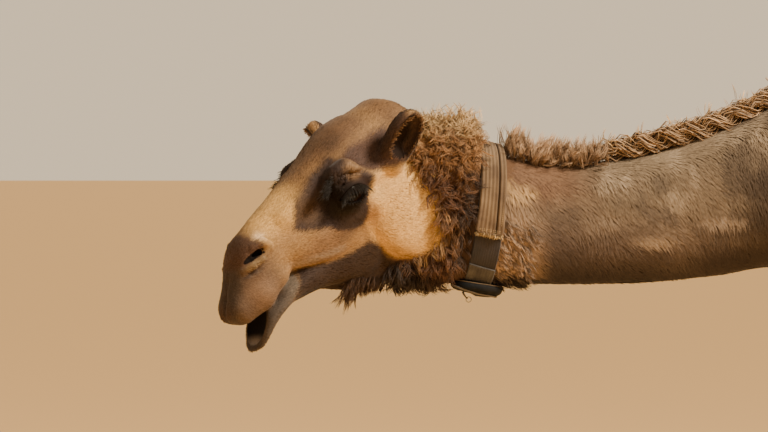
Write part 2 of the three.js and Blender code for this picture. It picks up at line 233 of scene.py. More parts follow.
def oval_distance(u, v, wide, high, square=2.0):
    """Distance from a section: an oval, or nearer a rectangle as `square` grows past 2."""
    wide, high = np.maximum(wide, 0.001), np.maximum(high, 0.001)
    a, b = np.abs(u) / wide + 1e-9, np.abs(v) / high + 1e-9
    k = (a**square + b**square) ** (1 / square)
    return (k - 1) * k ** (square - 1) / np.hypot(a ** (square - 1) / wide, b ** (square - 1) / high)


class Form:
    """A soft form, joined to the skin or cut out of it over the width `blend`."""

    def __init__(self, distance, low, high, blend, in_head=False, cut=False):
        reach = blend + 0.012
        self.distance, self.blend, self.in_head, self.cut = distance, blend, in_head, cut
        self.low, self.high = np.asarray(low) - reach, np.asarray(high) + reach


def lengthwise(rows, inset, blend, in_head=False, square=2.0):
    """A form over sections square to X, `inset` inside the outline that the rows give."""
    at, size = filled(rows)
    inset = inset(at) if callable(inset) else np.full(len(at), inset)
    top, bottom, half, narrow, middle = (size * [MM, MM, MM, 1, MM]).T

    def distance(p):
        x = p[:, 0]
        high = np.interp(x, at, (top - bottom) / 2 - inset)
        v = p[:, 2] - np.interp(x, at, top + bottom) / 2
        slim = 1 - np.interp(x, at, narrow) * np.clip(v / np.maximum(high, 0.001), -1, 1)
        wide = np.interp(x, at, half - inset) * slim
        side = oval_distance(p[:, 1] - np.interp(x, at, middle), v, wide, high, square)
        return np.maximum(side, np.maximum(at[0] - x, x - at[-1]))

    reach = (half * (1 + np.abs(narrow)) + np.abs(middle)).max()
    return Form(distance, (at[0], -reach, bottom.min()), (at[-1], reach, top.max()), blend, in_head)


def upright(rows, inset, blend, side=1, shift=0.0):
    """A form over sections square to Z; a leg's foot is shifted along X."""
    at, size = filled(rows)
    x0, y0, long, wide = (size * MM).T
    x0 = x0 + shift * smooth_step(STRAIGHT_ABOVE - at, 0, STRAIGHT_ABOVE)

    def distance(p):
        z = p[:, 2]
        u, v = p[:, 0] - np.interp(z, at, x0), p[:, 1] - side * np.interp(z, at, y0)
        around = oval_distance(u, v, np.interp(z, at, long) - inset, np.interp(z, at, wide) - inset)
        return np.maximum(around, np.maximum(at[0] + 0.001 - z, z - at[-1]))

    ys = np.array([side * (y0 - wide), side * (y0 + wide)])
    low = ((x0 - long).min(), ys.min(), at[0])
    return Form(distance, low, ((x0 + long).max(), ys.max(), at[-1]), blend)


def ball(centre, radii, blend, turn=(0, 0, 0), in_head=False, cut=False):
    """A form like an egg, turned about its centre."""
    centre, radii = np.array(centre) * MM, np.array(radii) * MM
    axes = np.array(Euler(turn).to_matrix())

    def distance(p):
        q = (p - centre) @ axes
        k = np.linalg.norm(q / radii, axis=1) + 1e-9
        return (k - 1) * k / (np.linalg.norm(q / radii**2, axis=1) + 1e-9)

    reach = radii.max()
    return Form(distance, centre - reach, centre + reach, blend, in_head, cut)


def rod(start, end, start_radius, end_radius, blend, in_head=False, cut=False):
    """A round form from one place to another, with a radius at each end."""
    start, end = np.array(start) * MM, np.array(end) * MM
    r0, r1, along = start_radius * MM, end_radius * MM, end - start

    def distance(p):
        t = np.clip((p - start) @ along / (along @ along), 0, 1)
        return np.linalg.norm(p - start - t[:, None] * along, axis=1) - r0 - t * (r1 - r0)

    reach = max(r0, r1)
    low, high = np.minimum(start, end) - reach, np.maximum(start, end) + reach
    return Form(distance, low, high, blend, in_head, cut)


def on_side(side):
    """A function that puts a place given for the side where Y is positive on either side."""

    def at(x, y, z):
        return (x, side * y, z)

    return at


def eyelid_opening(side):
    """The slit between the lids: an almond, pulled out along the eye's own axis."""
    centre = EYE_AT * [1, side, 1]

    def distance(p):
        q = p - centre
        along = q[:, 0] * np.cos(LID_TILT) + q[:, 2] * np.sin(LID_TILT)
        across = q[:, 2] * np.cos(LID_TILT) - q[:, 0] * np.sin(LID_TILT)
        upper = np.hypot(along, across + LID_CURVE - LID_HIGH) - LID_CURVE
        lower = np.hypot(along, across - LID_CURVE + LID_HIGH) - LID_CURVE
        return np.maximum(np.maximum(upper, lower), 0.010 - side * q[:, 1])

    reach = np.array([0.03, 0.045, 0.03])
    return Form(distance, centre - reach, centre + reach, 0.002, in_head=True, cut=True)


def ear_axes(name):
    """Rows: out of the cup, across it, and from root to tip."""
    length = np.subtract(EAR_TIPS[name], EAR_ROOTS[name]).astype(float)
    length /= np.linalg.norm(length)
    out = np.array(EAR_FACING[name])
    out -= out @ length * length
    out /= np.linalg.norm(out)
    return np.array([out, np.cross(length, out), length])


def ear_middle(name):
    return (np.array(EAR_ROOTS[name]) + EAR_TIPS[name]) / 2 * MM


def in_ear(head_points, name):
    """Places in one ear's own frame: out of its cup, across it, and towards its tip."""
    return (head_points - ear_middle(name)) @ ear_axes(name).T


def from_ear(head_points, name, half_sizes, middle=(0, 0, 0)):
    """How far from an ear's middle a place is: 1 on the egg with these half sizes, in metres."""
    return np.linalg.norm((in_ear(head_points, name) - middle) / half_sizes, axis=1)


def ear_cup(name):
    """A thin leaf-shaped cup, open to its outer side."""
    centre = ear_middle(name)

    def distance(p):
        q = in_ear(p, name)
        outer = np.abs(q) / [0.018, 0.029, 0.052]
        inner = np.abs(q - CUP_MIDDLE) / [0.0165, 0.0225, 0.043]
        outer, inner = [(k**2.5).sum(axis=1) ** 0.4 for k in (outer, inner)]
        return np.maximum((outer - 1) * 0.020, (1 - inner) * 0.019)

    return Form(distance, centre - 0.055, centre + 0.055, 0.010, True)


def chain(points, radii, blend, cut=False):
    """Rods end to end on the head."""
    pairs = zip(points[:-1], points[1:], radii[:-1], radii[1:])
    return [rod(a, b, r0, r1, blend, True, cut) for a, b, r0, r1 in pairs]


def nostril(side):
    """The nostril: a slit that is widest at its back end and runs in towards the nose's middle."""
    at = on_side(side)
    slit = [at(175, 47, 6), at(185, 44, 8), at(202, 39, 8), at(217, 34, 8), at(230, 26, 7)]
    within_it = [at(180, 38, 6), at(198, 24, 8)]
    return chain(slit, [4.2, 5.6, 4.8, 3.0, 1.4], 0.002, True) + chain(within_it, [6, 5], 0.003, True)


MOUTH = ball((238, 0, -103), (38, 29, 12), 0.004, (0, 0.76, 0), True, True)
OPENINGS = [MOUTH, *nostril(1), *nostril(-1)]


def inside_openings(head_points, room):
    """Whether a place on the head is in the mouth or a nostril, or within `room` of its edge."""
    return np.min([form.distance(head_points) for form in OPENINGS], axis=0) < room


def face_masses(side):
    """What stands out from the skull on one side: muscles, brow, bones, muzzle and lids."""
    at = on_side(side)
    brow = [at(28, 68, 10), at(10, 72, 25), at(-9, 72, 32), at(-27, 73, 31), at(-41, 78, 16), at(-55, 84, -8)]
    upper_lip = [at(172, 30, -54), at(214, 26, -62), at(252, 17, -65)]
    lower_rim = [at(164, 44, -1), at(184, 41, -5), at(202, 37, -5), at(220, 29, -2)]
    upper_rim = [at(159, 43, 6), at(167, 40, 15), at(184, 35, 18)]
    return [
        ball(at(-84, 58, -100), (64, 27, 84), 0.022, (0, -0.12, 0), True),  # chewing muscle
        ball(at(38, 40, -60), (88, 25, 38), 0.024, (0, -0.25, 0), True),  # cheek
        ball(at(-8, 66, -5), (45, 27, 38), 0.018, (0, 0.2, 0), True),  # round the eye
        *chain(brow, [6, 8, 8, 8, 9, 8], 0.018),
        rod(at(-50, 76, -8), at(-126, 68, -14), 9, 9, 0.022, True),  # cheekbone to the ear
        rod(at(-34, 70, -48), at(70, 46, -34), 12, 10, 0.030, True),  # cheekbone under the eye
        rod(at(30, 36, 32), at(104, 31, 19), 11, 10, 0.024, True),  # edge of the nose bridge
        ball(at(52, 84, 14), (36, 22, 24), 0.030, (0, 0.5, 0), True, True),  # hollow before the eye
        ball(at(-88, 92, 30), (42, 27, 24), 0.020, (0, 0.25, 0), True, True),  # temple hollow
        *chain(upper_lip, [17, 20, 19], 0.016),
        ball(at(188, 24, 3), (28, 13, 16), 0.020, (0, 0.5, 0), True),  # over the nostril
        *chain(lower_rim, [5, 6, 5, 2.4], 0.005),
        *chain(upper_rim, [5, 6, 4], 0.009),
        ball(at(*(EYE_AT / MM)), [LID_RADIUS / MM] * 3, 0.007, (0, 0, 0), True),  # lids
    ]


def face_folds(side):
    """What is cut into one side of the face: nostril, folds, lip line, jaw line and the eye's slit."""
    at = on_side(side)
    muzzle_fold = [at(243, 24, -2), at(231, 32, -10), at(215, 38, -14), at(199, 42, -15), at(184, 45, -13)]
    brow_fold = [at(-2, 84, 30), at(-21, 86, 22), at(-42, 91, 9)]
    lid_fold = [at(6, 88, 16), at(-16, 92, 15), at(-38, 94, 4)]
    lip_line = [at(157, 52, -62), at(172, 49, -75), at(188, 46, -83), at(222, 42, -90)]
    jaw_line = [at(140, 56, -82), at(100, 64, -95), at(48, 74, -110)]
    return [
        *nostril(side),
        *chain(muzzle_fold, [1, 2.4, 2.6, 2.2, 1], 0.005, True),
        *chain(brow_fold, [1, 2.4, 1], 0.005, True),
        *chain(lid_fold, [1, 2.2, 1], 0.004, True),
        *chain(lip_line, [2, 3.4, 3.4, 3], 0.006, True),
        *chain(jaw_line, [2, 4, 4], 0.018, True),
        eyelid_opening(side),
    ]


def ear_forms(name):
    """An ear's cup, and the short root that carries it."""
    root, tip = np.array(EAR_ROOTS[name]), np.array(EAR_TIPS[name])
    return [ear_cup(name), rod(root, root + (tip - root) * 0.1, 17, 15, 0.016, True)]


def head_forms():
    """The head's forms, in the order in which they join."""
    forms = [lengthwise(SKULL, 0.004, 0.02, True, 2.3)]
    for _, side in SIDES:
        forms += face_masses(side)
    forms.append(lengthwise(MANDIBLE, 0.003, 0.008, True, 2.3))
    for name, side in SIDES:
        forms += face_folds(side) + ear_forms(name)
    lip_cleft = [(238, 0, 2), (245, 0, -10), (264, 0, -34), (290, 0, -72)]
    return forms + chain(lip_cleft, [1, 5, 4, 5], 0.008, True) + [MOUTH]


def body_depth(x):
    """How deep the skin lies under the tips of the coat, which the collar presses flat."""
    return 0.009 - 0.006 * smooth_step(x, -1.02, -1.0) * smooth_fall(x, -0.95, -0.97)


def body_forms():
    """The trunk's, neck's, tail's and legs' forms, in the order in which they join."""
    forms = [
        lengthwise(BODY, body_depth, 0.05),
        lengthwise(THROAT, 0.004, 0.03),
        ball((-1074, -6, 1356), (40, 64, 82), 0.03),  # under the wool on the nape
        ball((-1018, -6, 1362), (32, 62, 80), 0.03),
        upright(HUMP, 0.012, 0.07),
        upright(TAIL, 0.008, 0.03),
        ball((120, 0, 1014), (88, 66, 30), 0.03),  # pad of horn under the breast
    ]
    for _, rows, side, shift in LEGS:
        forms.append(upright(rows, 0.005, 0.05, side, shift))
    for side in (-1, 1):
        at = on_side(side)
        forms += [
            rod(at(60, 116, 1700), at(-150, 170, 1330), 34, 42, 0.11),  # shoulder blade
            ball(at(30, 176, 1270), (110, 54, 120), 0.06, (0, 0.5, 0)),  # upper arm
            ball(at(98, 180, 1130), (30, 30, 34), 0.04),  # elbow
            rod(at(1000, 168, 1680), at(1120, 146, 1636), 27, 24, 0.11),  # hip
            ball(at(1130, 150, 1440), (150, 74, 170), 0.06, (0, 0.3, 0)),  # thigh
            rod(at(930, 190, 1560), at(968, 168, 1150), 16, 30, 0.08),  # flank edge
        ]
    return forms


FORMS = body_forms() + head_forms()


def skin_distance(points):
    """The signed distance from the skin: each form joined to those before it, or cut out of them."""
    value = np.full(len(points), 1.0)
    in_head = to_head(points)
    for form in FORMS:
        own = in_head if form.in_head else points
        near = np.flatnonzero(((own > form.low) & (own < form.high)).all(axis=1))
        if not len(near):
            continue
        a, b, k = value[near], form.distance(own[near]), form.blend
        if form.cut:
            a = -a
        mix = np.clip(0.5 + 0.5 * (b - a) / k, 0, 1)
        joined = b + (a - b) * mix - k * mix * (1 - mix)
        value[near] = -joined if form.cut else joined
    return value


def onto_skin(points, longest=0.006, step=0.0006):
    """Moves points along the slope of the skin's distance, to where it is zero."""
    here = skin_distance(points)
    ahead = [skin_distance(points + step * np.eye(3)[i]) - here for i in range(3)]
    slope = np.stack(ahead, axis=1) / step
    move = slope * (here / np.maximum((slope**2).sum(axis=1), 0.25))[:, None]
    size = np.linalg.norm(move, axis=1, keepdims=True)
    return points - move * np.minimum(1, longest / np.maximum(size, 1e-9))


# ---- The skin's mesh ----
GRID_LOW, GRID_HIGH, GRID_STEP = (-1.50, -0.34, -0.03), (1.46, 0.34, 2.14), 0.0165
# The grid is finer round the head: its cells' parts, its reach along X, its lowest layer and its layers.
FINE_PARTS, FINE_COLUMNS, FINE_FLOOR, FINE_LAYERS = 4, 26, 60, 36


def grid_points(low, counts, step):
    axes = [low[i] + step * np.arange(counts[i]) for i in range(3)]
    return np.stack(np.meshgrid(*axes, indexing="ij"), axis=-1)


def crossings(value, low, step):
    """Where the grid's edges cross the skin: the place, the 4 cells round it, and the sense."""
    found = []
    for axis in range(3):
        one, two = [slice(None)] * 3, [slice(None)] * 3
        one[axis], two[axis] = slice(0, -1), slice(1, None)
        start = np.argwhere((value[tuple(one)] < 0) != (value[tuple(two)] < 0))
        unit = np.eye(3, dtype=int)[axis]
        v0, v1 = value[tuple(start.T)], value[tuple((start + unit).T)]
        place = low + step * (start + unit * (v0 / (v0 - v1))[:, None])
        b, c = np.eye(3, dtype=int)[(axis + 1) % 3], np.eye(3, dtype=int)[(axis + 2) % 3]
        cells = np.stack([start, start - b, start - b - c, start - c], axis=1)
        cells[v0 >= 0] = cells[v0 >= 0][:, ::-1]
        found.append((start, place, cells, np.full(len(start), axis)))
    return [np.concatenate(parts) for parts in zip(*found)]


def surface_net():
    """A closed mesh round the forms, from the grid and the finer grid round the head."""
    low, step, parts, wall = np.array(GRID_LOW), GRID_STEP, FINE_PARTS, FINE_COLUMNS
    counts = np.ceil((np.array(GRID_HIGH) - low) / step).astype(int) + 1
    value = skin_distance(grid_points(low, counts, step).reshape(-1, 3)).reshape(counts)
    small, near = step / parts, np.array([0, 0, FINE_FLOOR])
    fine_low = low + step * near
    fine_counts = np.array([wall, counts[1] - 1, FINE_LAYERS]) * parts + 1
    spots = np.stack(np.meshgrid(*[np.arange(n) for n in fine_counts], indexing="ij"), axis=-1)
    rough = value[tuple((near + (spots + parts // 2) // parts).reshape(-1, 3).T)]
    close = np.flatnonzero(np.abs(rough) < 2.2 * step)
    fine = rough.copy()
    fine[close] = skin_distance(fine_low + small * spots.reshape(-1, 3)[close])
    fine = fine.reshape(fine_counts)
    for grid in (value, fine):
        grid[grid == 0] = 1e-9

    def number(cell):
        """One number for a fine cell; all the fine cells within a coarse one share theirs."""
        coarse = cell[..., 0] >= wall * parts
        own = np.where(coarse[..., None], cell // parts * parts, cell)
        return np.ravel_multi_index(np.moveaxis(own, -1, 0), counts * parts)

    start, place, cells, axis = crossings(value, low, step)
    keep = (start[:, 0] > wall) | ((start[:, 0] == wall) & (axis == 0))
    places, rounds = [place[keep]], [number(cells[keep] * parts)]
    start, place, cells, axis = crossings(fine, fine_low, small)
    keep = start[:, 0] <= wall * parts
    places.append(place[keep])
    rounds.append(number(cells[keep] + near * parts))
    places, rounds = np.concatenate(places), np.concatenate(rounds)
    _, rounds = np.unique(rounds, return_inverse=True)
    rounds = rounds.reshape(-1, 4)
    hits = np.bincount(rounds.ravel())[:, None]
    points = np.stack([np.bincount(rounds.ravel(), np.repeat(places[:, i], 4)) for i in range(3)], 1) / hits
    faces = np.concatenate([rounds[:, [0, 1, 2]], rounds[:, [0, 2, 3]]])
    whole = (faces[:, 0] != faces[:, 1]) & (faces[:, 1] != faces[:, 2]) & (faces[:, 2] != faces[:, 0])
    return points, faces[whole]


def edges_of(faces):
    """Each edge once, as the numbers of its two points, and the three edges of each face."""
    pairs = np.sort(faces[:, [[0, 1], [1, 2], [2, 0]]].reshape(-1, 2), axis=1)
    key, which = np.unique(pairs[:, 0].astype(np.int64) << 32 | pairs[:, 1], return_inverse=True)
    return np.stack([key >> 32, key & 0xFFFFFFFF], axis=1), which.reshape(-1, 3)


def split_long(points, faces, wanted):
    """Cuts each edge that is much longer than wanted there, and the faces beside it."""
    edges, which = edges_of(faces)
    ends = points[edges]
    middle = ends.mean(axis=1)
    long = np.linalg.norm(ends[:, 0] - ends[:, 1], axis=1) > 1.42 * wanted(middle)
    number = np.full(len(edges), -1)
    number[long] = len(points) + np.arange(long.sum())
    points = np.concatenate([points, middle[long]])
    mark = number[which]
    cuts = (mark >= 0).sum(axis=1)
    made = [faces[cuts == 0]]
    all_three = cuts == 3
    (a, b, c), (m, n, o) = faces[all_three].T, mark[all_three].T
    made += [np.stack(t, 1) for t in ((a, m, o), (m, b, n), (o, n, c), (m, n, o))]
    for turn in range(3):
        order = np.roll([0, 1, 2], -turn)
        f, e = faces[:, order], mark[:, order]
        one = (cuts == 1) & (e[:, 0] >= 0)
        (a, b, c), m = f[one].T, e[one, 0]
        made += [np.stack(t, 1) for t in ((a, m, c), (m, b, c))]
        two = (cuts == 2) & (e[:, 2] < 0)
        (a, b, c), (m, n) = f[two].T, e[two, :2].T
        made += [np.stack(t, 1) for t in ((m, b, n), (a, m, n), (a, n, c))]
    return points, np.concatenate(made)


def relaxed(points, faces, amount=0.5):
    """Evens out the mesh: each point moves towards the middle of its neighbours."""
    edges, _ = edges_of(faces)
    count = np.bincount(edges.ravel(), minlength=len(points))[:, None]
    total = np.zeros_like(points)
    for axis in range(3):
        total[:, axis] = np.bincount(edges[:, 0], points[edges[:, 1], axis], len(points))
        total[:, axis] += np.bincount(edges[:, 1], points[edges[:, 0], axis], len(points))
    return points + amount * (total / np.maximum(count, 1) - points)


FINE_SPOTS = [  # places on the head that need the smallest faces: centre, radius and the faces' size
    *[((-8, side * 92, -6), 46, 2.1) for _, side in SIDES],
    *[((196, side * 42, 4), 36, 1.5) for _, side in SIDES],
    ((262, 0, -66), 60, 2.6),
    ((236, 0, -106), 40, 2.0),
    ((200, 0, -92), 66, 2.7),
    ((-142, 100, 14), 56, 2.3),
    ((-124, -112, 22), 56, 2.6),
]


def wanted_edge(points):
    """How long the skin mesh's edges are to be: less on the legs, feet and neck, and least on the head."""
    x, y, z = points.T
    edge = np.full(len(points), 0.0190)
    edge = np.where((z < 1.05) & (np.abs(y) > 0.07), 0.0130, edge)
    edge = np.where(z < 0.16, 0.008, edge)
    edge = np.where(x < -0.45, 0.0115, edge)
    edge = np.where(x < -1.07, 0.0062, edge)
    head = to_head(points)
    for centre, radius, size in FINE_SPOTS:
        away = np.linalg.norm(head - np.array(centre) * MM, axis=1) / (radius * MM)
        edge = np.minimum(edge, size * MM + 0.004 * np.clip(away - 0.8, 0, 10))
    return edge


def grown_skin():
    """The skin's points and faces: netted, then evened out, and divided where it has to be finer."""
    points, faces = surface_net()
    for _ in range(2):
        points = onto_skin(relaxed(points, faces), 0.012)
    for _ in range(5):
        before = len(points)
        points, faces = split_long(points, faces, wanted_edge)
        points = onto_skin(onto_skin(relaxed(points, faces)))
        if len(points) == before:
            break
    for _ in range(2):
        points = onto_skin(relaxed(points, faces, 0.4))
    return onto_skin(points), faces


# ---- Markings and painted light and shade, shared by the skin and the coat ----


def linear(code):
    """A colour written as sRGB hex, as the linear values that light mixes in."""
    value = np.array([int(code[i : i + 2], 16) for i in (1, 3, 5)]) / 255
    return np.where(value <= 0.04045, value / 12.92, ((value + 0.055) / 1.055) ** 2.4)


def ripple(points, size, seed):
    """A smooth unevenness between about -1 and 1, with waves about `size` long."""
    rng = np.random.default_rng(seed)
    waves = rng.normal(size=(8, 3)) * 3.8 / size
    return np.sin(points @ waves.T + rng.uniform(0, ROUND, 8)).mean(axis=1) * 2.4


def within(u, v, corners, soft):
    """1 inside a closed outline in millimetres and 0 outside it, over a soft edge."""
    corners = np.array(corners) * MM
    away, inside = np.full(len(u), 9.0), np.zeros(len(u), bool)
    for (u0, v0), (u1, v1) in zip(corners, np.roll(corners, -1, axis=0)):
        du, dv = u1 - u0, v1 - v0
        t = np.clip(((u - u0) * du + (v - v0) * dv) / (du**2 + dv**2), 0, 1)
        away = np.minimum(away, np.hypot(u - u0 - t * du, v - v0 - t * dv))
        inside ^= ((v0 > v) != (v1 > v)) & (u < u0 + (v - v0) / (dv + 1e-12) * du)
    return smooth_step(np.where(inside, away, -away), -soft, soft)


def near(points, centre, radii, soft=0.5):
    """1 at the middle of an egg-shaped spot, falling to 0 at its edge."""
    away = np.linalg.norm((points - np.array(centre) * MM) / (np.array(radii) * MM), axis=1)
    return smooth_fall(away, 1, 1 - soft)


# Outlines of markings on the head, some of them partly painted shade, seen from its side: forward and up, in
# millimetres.
EYE_PATCH_AND_SHADE = [
    (37, 78), (14, 78), (-15, 61), (-30, 44), (-38, 26), (-47, 8), (-54, -6), (-44, -17), (-25, -36),
    (-13, -58), (2, -71), (24, -63), (41, -54), (62, -33), (79, -26), (102, -13), (111, -2), (92, 20),
    (76, 39), (67, 54), (54, 69),
]
CHEEK = [
    (-55, -4), (-142, -32), (-138, -76), (-131, -121), (-124, -164), (-100, -190), (-59, -182),
    (-32, -162), (-18, -133), (-8, -104), (-8, -70), (-24, -35),
]
JAW_SHADE = [
    (178, -110), (168, -94), (150, -83), (137, -66), (111, -76), (81, -90), (46, -99), (21, -103),
    (1, -102), (-9, -116), (-16, -143), (-28, -170), (-64, -199), (-64, -240), (160, -240),
]
LOWER_LIP = [
    (141, -68), (157, -61), (172, -75), (188, -83), (222, -91), (242, -110), (262, -132), (280, -150),
    (208, -140), (178, -104), (152, -84),
]
HEAD_SIDE = [
    (-190, 140), (-160, 30), (-140, -38), (-137, -112), (-127, -160), (-100, -190), (-58, -184),
    (-15, -162), (45, -150), (110, -136), (156, -124), (220, -135), (300, -160), (300, 140),
]
TEMPLE_HAIR_AND_SHADE = [
    (-30, 44), (-54, 50), (-74, 50), (-92, 46), (-110, 45), (-141, 34), (-140, -34), (-123, -33),
    (-103, -22), (-84, -13), (-63, -8), (-54, 5), (-45, 22),
]
CROWN = [
    (-300, 160), (-300, 16), (-160, 6), (-130, 60), (-150, 160),
]
MUZZLE_TOP = [
    (186, 60), (180, 41), (177, 33), (172, 21), (170, 8), (200, 3), (232, 4), (246, -4), (262, -26),
    (288, -70), (320, -60), (300, 60),
]


def bare_leg(points):
    """1 on the worn pads of horn at the knees, elbows and stifles and under the breast, fading off them."""
    x, y, z = points.T
    worn = near(points, (120, 0, 990), (92, 70, 40))
    for _, rows, side, shift in LEGS:
        lean = shift * smooth_step(STRAIGHT_ABOVE - z, 0, STRAIGHT_ABOVE)
        straight = points - np.stack([lean, 0 * y, 0 * z], axis=1)
        if rows is FORELEG:
            worn = np.maximum(worn, near(straight, (-62, side * 163, 625), (34, 46, 52)))
            worn = np.maximum(worn, near(straight, (126, side * 180, 1128), (30, 34, 34)))
        else:
            worn = np.maximum(worn, near(straight, (900, side * 176, 1090), (40, 50, 50)))
    return worn


COLLAR_AT = np.array([-0.989, 0, 1.282])  # the middle of the loop
# Rows: along the neck across the collar's width, sideways, and up.
COLLAR_AXES = np.array(Euler((0, 0.11, 0.2), "XYZ").to_matrix().transposed())


def from_collar(points):
    """How far behind the middle of the collar's width a place is, in metres."""
    return (points - COLLAR_AT) @ COLLAR_AXES[0]


def markings_and_painted_shading(points):
    """The colour of hair and hide at each place, with light and shade painted into it in places."""
    x, y, z = points.T
    head = to_head(points)
    a, side, b = head.T
    lateral = np.abs(side)
    both = np.stack([a, lateral, b], axis=1)
    broad, small = ripple(points, 0.25, 3), ripple(points, 0.06, 4)
    colour = np.tile(linear("#836a50"), (len(points), 1))

    def paint(code, amount):
        colour[:] += (linear(code) - colour) * np.clip(amount, 0, 1)[:, None]

    # trunk, legs and tail
    back = smooth_step(z, 1.45, 1.85)
    paint("#6d5640", 0.6 * back)
    paint("#95805f", 0.6 * smooth_fall(z, 1.25, 1.02) * smooth_step(z, 0.85, 1.0))
    paint("#4d3a2a", smooth_step(z, 1.93, 2.10))
    paint("#987d5c", 0.7 * smooth_fall(z, 1.0, 0.75))
    paint("#7d6446", smooth_fall(z, 0.22, 0.05))
    paint("#493829", smooth_step(x, 1.36, 1.40) * smooth_fall(z, 1.16, 1.06))
    paint("#6b543c", 0.35 * smooth_step(broad, 0.0, 0.8))
    # neck
    neck = smooth_fall(x, -0.05, -0.60)
    paint("#615342", 0.95 * neck)
    paint("#8c7b66", 0.45 * neck * smooth_step(small + broad, -0.1, 0.9))
    paint("#4f4336", 0.8 * neck * smooth_step(broad - small, 0.0, 1.1))
    # Painted shade over slightly darker hair, low on the front of the neck.
    paint("#4a3a2c", 0.35 * smooth_fall(x, -0.74, -0.80) * smooth_fall(z, 1.33, 1.30))
    paint("#593e2a", 0.9 * smooth_fall(x, -0.76, -0.88) * smooth_step(z, 1.29, 1.345))
    # Darker down to near black under the neck: partly its own darker hair, partly painted shade.
    paint("#443a37", 0.8 * neck * smooth_fall(z, 1.33, 1.23))
    paint("#161115", 0.93 * neck * smooth_fall(z, 1.255, 1.175))
    # Painted shade: darker low on the neck where it meets the chest, darkest underneath.
    neck_base_shade = smooth_step(x, -0.62, -0.50) * smooth_fall(x, -0.10, -0.46)
    paint("#2d231b", 0.92 * neck_base_shade * smooth_fall(z, 1.44, 1.36))
    under_base_shade = smooth_step(x, -0.66, -0.58) * smooth_fall(x, -0.12, -0.46)
    paint("#1f181a", 0.8 * under_base_shade * smooth_fall(z, 1.262, 1.215))
    for pale_at in ((-700, 0, 1248), (-574, 0, 1286)):
        paint("#857565", 0.8 * near(points, pale_at, (60, 1000, 18), 0.8))
    paint("#a3855c", 0.8 * near(points, (-928, 0, 1334), (38, 1000, 20), 0.8))
    paint("#967d66", smooth_fall(x, -0.87, -0.94) * smooth_fall(z, 1.34, 1.24) * smooth_step(z, 1.17, 1.20))
    # wool between the collar and the head: pale at the top and darker down to the throat, partly its own
    # tones, partly painted light on top and painted shade below
    wool = smooth_fall(x, -0.975, -0.995)
    paint("#b99a6e", wool)
    paint("#8a643f", wool * smooth_fall(z, 1.440, 1.400))
    # Painted shadow on the wool just behind the cheek.
    paint("#593b28", wool * smooth_fall(z, 1.400, 1.360) * smooth_fall(x, -1.005, -1.035))
    paint("#7f5e44", wool * smooth_fall(z, 1.310, 1.285))
    paint("#644531", wool * smooth_fall(z, 1.250, 1.220))
    paint("#382318", wool * smooth_fall(z, 1.210, 1.180))
    gap = from_collar(points)
    by_collar = smooth_fall(gap, -0.018, -0.024) * smooth_step(gap, -0.060, -0.045)
    paint("#38261b", by_collar * smooth_fall(z, 1.40, 1.36))
    # head
    crown = within(a, b, CROWN, 0.006) * smooth_fall(x, -1.10, -1.112)
    here = np.maximum(within(a, b, HEAD_SIDE, 0.006), crown)
    side = smooth_step(lateral, 0.03, 0.06)
    paint("#83633d", here)
    paint("#60452b", here * smooth_fall(a, -0.12, -0.16))
    paint("#553d28", here * smooth_step(b, 0.030, 0.070) * smooth_step(a, -0.17, -0.10))
    # Painted shade on the forehead over the eye.
    paint("#3b291c", 0.95 * here * near(both, (-42, 48, 80), (50, 44, 40), 0.8))
    paint("#af894f", here * smooth_step(a, 0.04, 0.09) * smooth_step(b, -0.01, 0.03))
    paint("#b99156", within(a, b, CHEEK, 0.008) * side)
    # Painted shade along the front edge of the chewing muscle.
    paint("#85613d", 0.8 * here * near(both, (-22, 84, -64), (22, 40, 56), 0.9))
    paint("#705439", here * near(head, (76, 0, -56), (76, 200, 42), 0.6) * side)
    paint("#5d452f", here * near(head, (33, 0, -62), (46, 200, 22), 0.8) * side)
    # A greyer, darker band along the crease of the lip line: painted shade.
    from_lips = b + 0.045 + 0.37 * (0.156 - a)
    lip_line = 0.8 * here * np.exp(-((from_lips / 0.008) ** 2))
    paint("#7f6e5e", lip_line * smooth_step(a, 0.03, 0.07) * smooth_fall(a, 0.165, 0.13))
    # Painted shade under the jaw, darkest along its middle underneath.
    paint("#25160d", within(a, b, JAW_SHADE, 0.006) * smooth_fall(x, -1.04, -1.06))
    paint("#2b1a13", here * smooth_fall(lateral, 0.040, 0.020) * smooth_fall(b + 0.4 * a, -0.09, -0.15))
    paint("#8a7c68", 0.03 + 0 * x)  # dust in the coat
    # The temple hollow and the base of the ear: partly darker hair, partly painted shade.
    paint("#3b2a24", 0.95 * here * within(a, b, TEMPLE_HAIR_AND_SHADE, 0.010) * smooth_step(lateral, 0.045, 0.06))
    paint("#2b1a11", here * near(both, (-122, 80, -4), (34, 30, 44), 0.9))
    # The dark patch round the eye: partly its own dark hair, partly painted shade in the hollow before the
    # eye.
    patch_and_shade = here * within(a, b, EYE_PATCH_AND_SHADE, 0.006) * smooth_step(lateral, 0.034, 0.05)
    paint("#2f231e", patch_and_shade)
    # Painted light where the fold over the eye catches the light.
    paint("#87694a", patch_and_shade * near(head, (-30, 0, 24), (30, 200, 26), 0.8))
    paint("#46321f", patch_and_shade * near(head, (70, 0, 0), (40, 200, 34), 0.9))
    # Near black before and round the eye: partly the dark skin of the lids and lashes, partly painted shade.
    paint("#19110c", patch_and_shade * near(both, (18, 84, -6), (56, 50, 44), 0.7))
    paint("#0f0a07", near(both, (-2, 90, -10), (40, 36, 30), 0.6))
    # The muzzle is darker and greyer: partly its own hair, partly painted shade.
    paint("#584637", here * smooth_step(a, 0.14, 0.20))
    paint("#6f553e", here * near(both, (212, 34, -52), (44, 40, 34), 0.9))
    # Painted shade on the front of the nose.
    paint("#443a33", here * smooth_step(a, 0.205, 0.240) * smooth_fall(lateral, 0.036, 0.020))
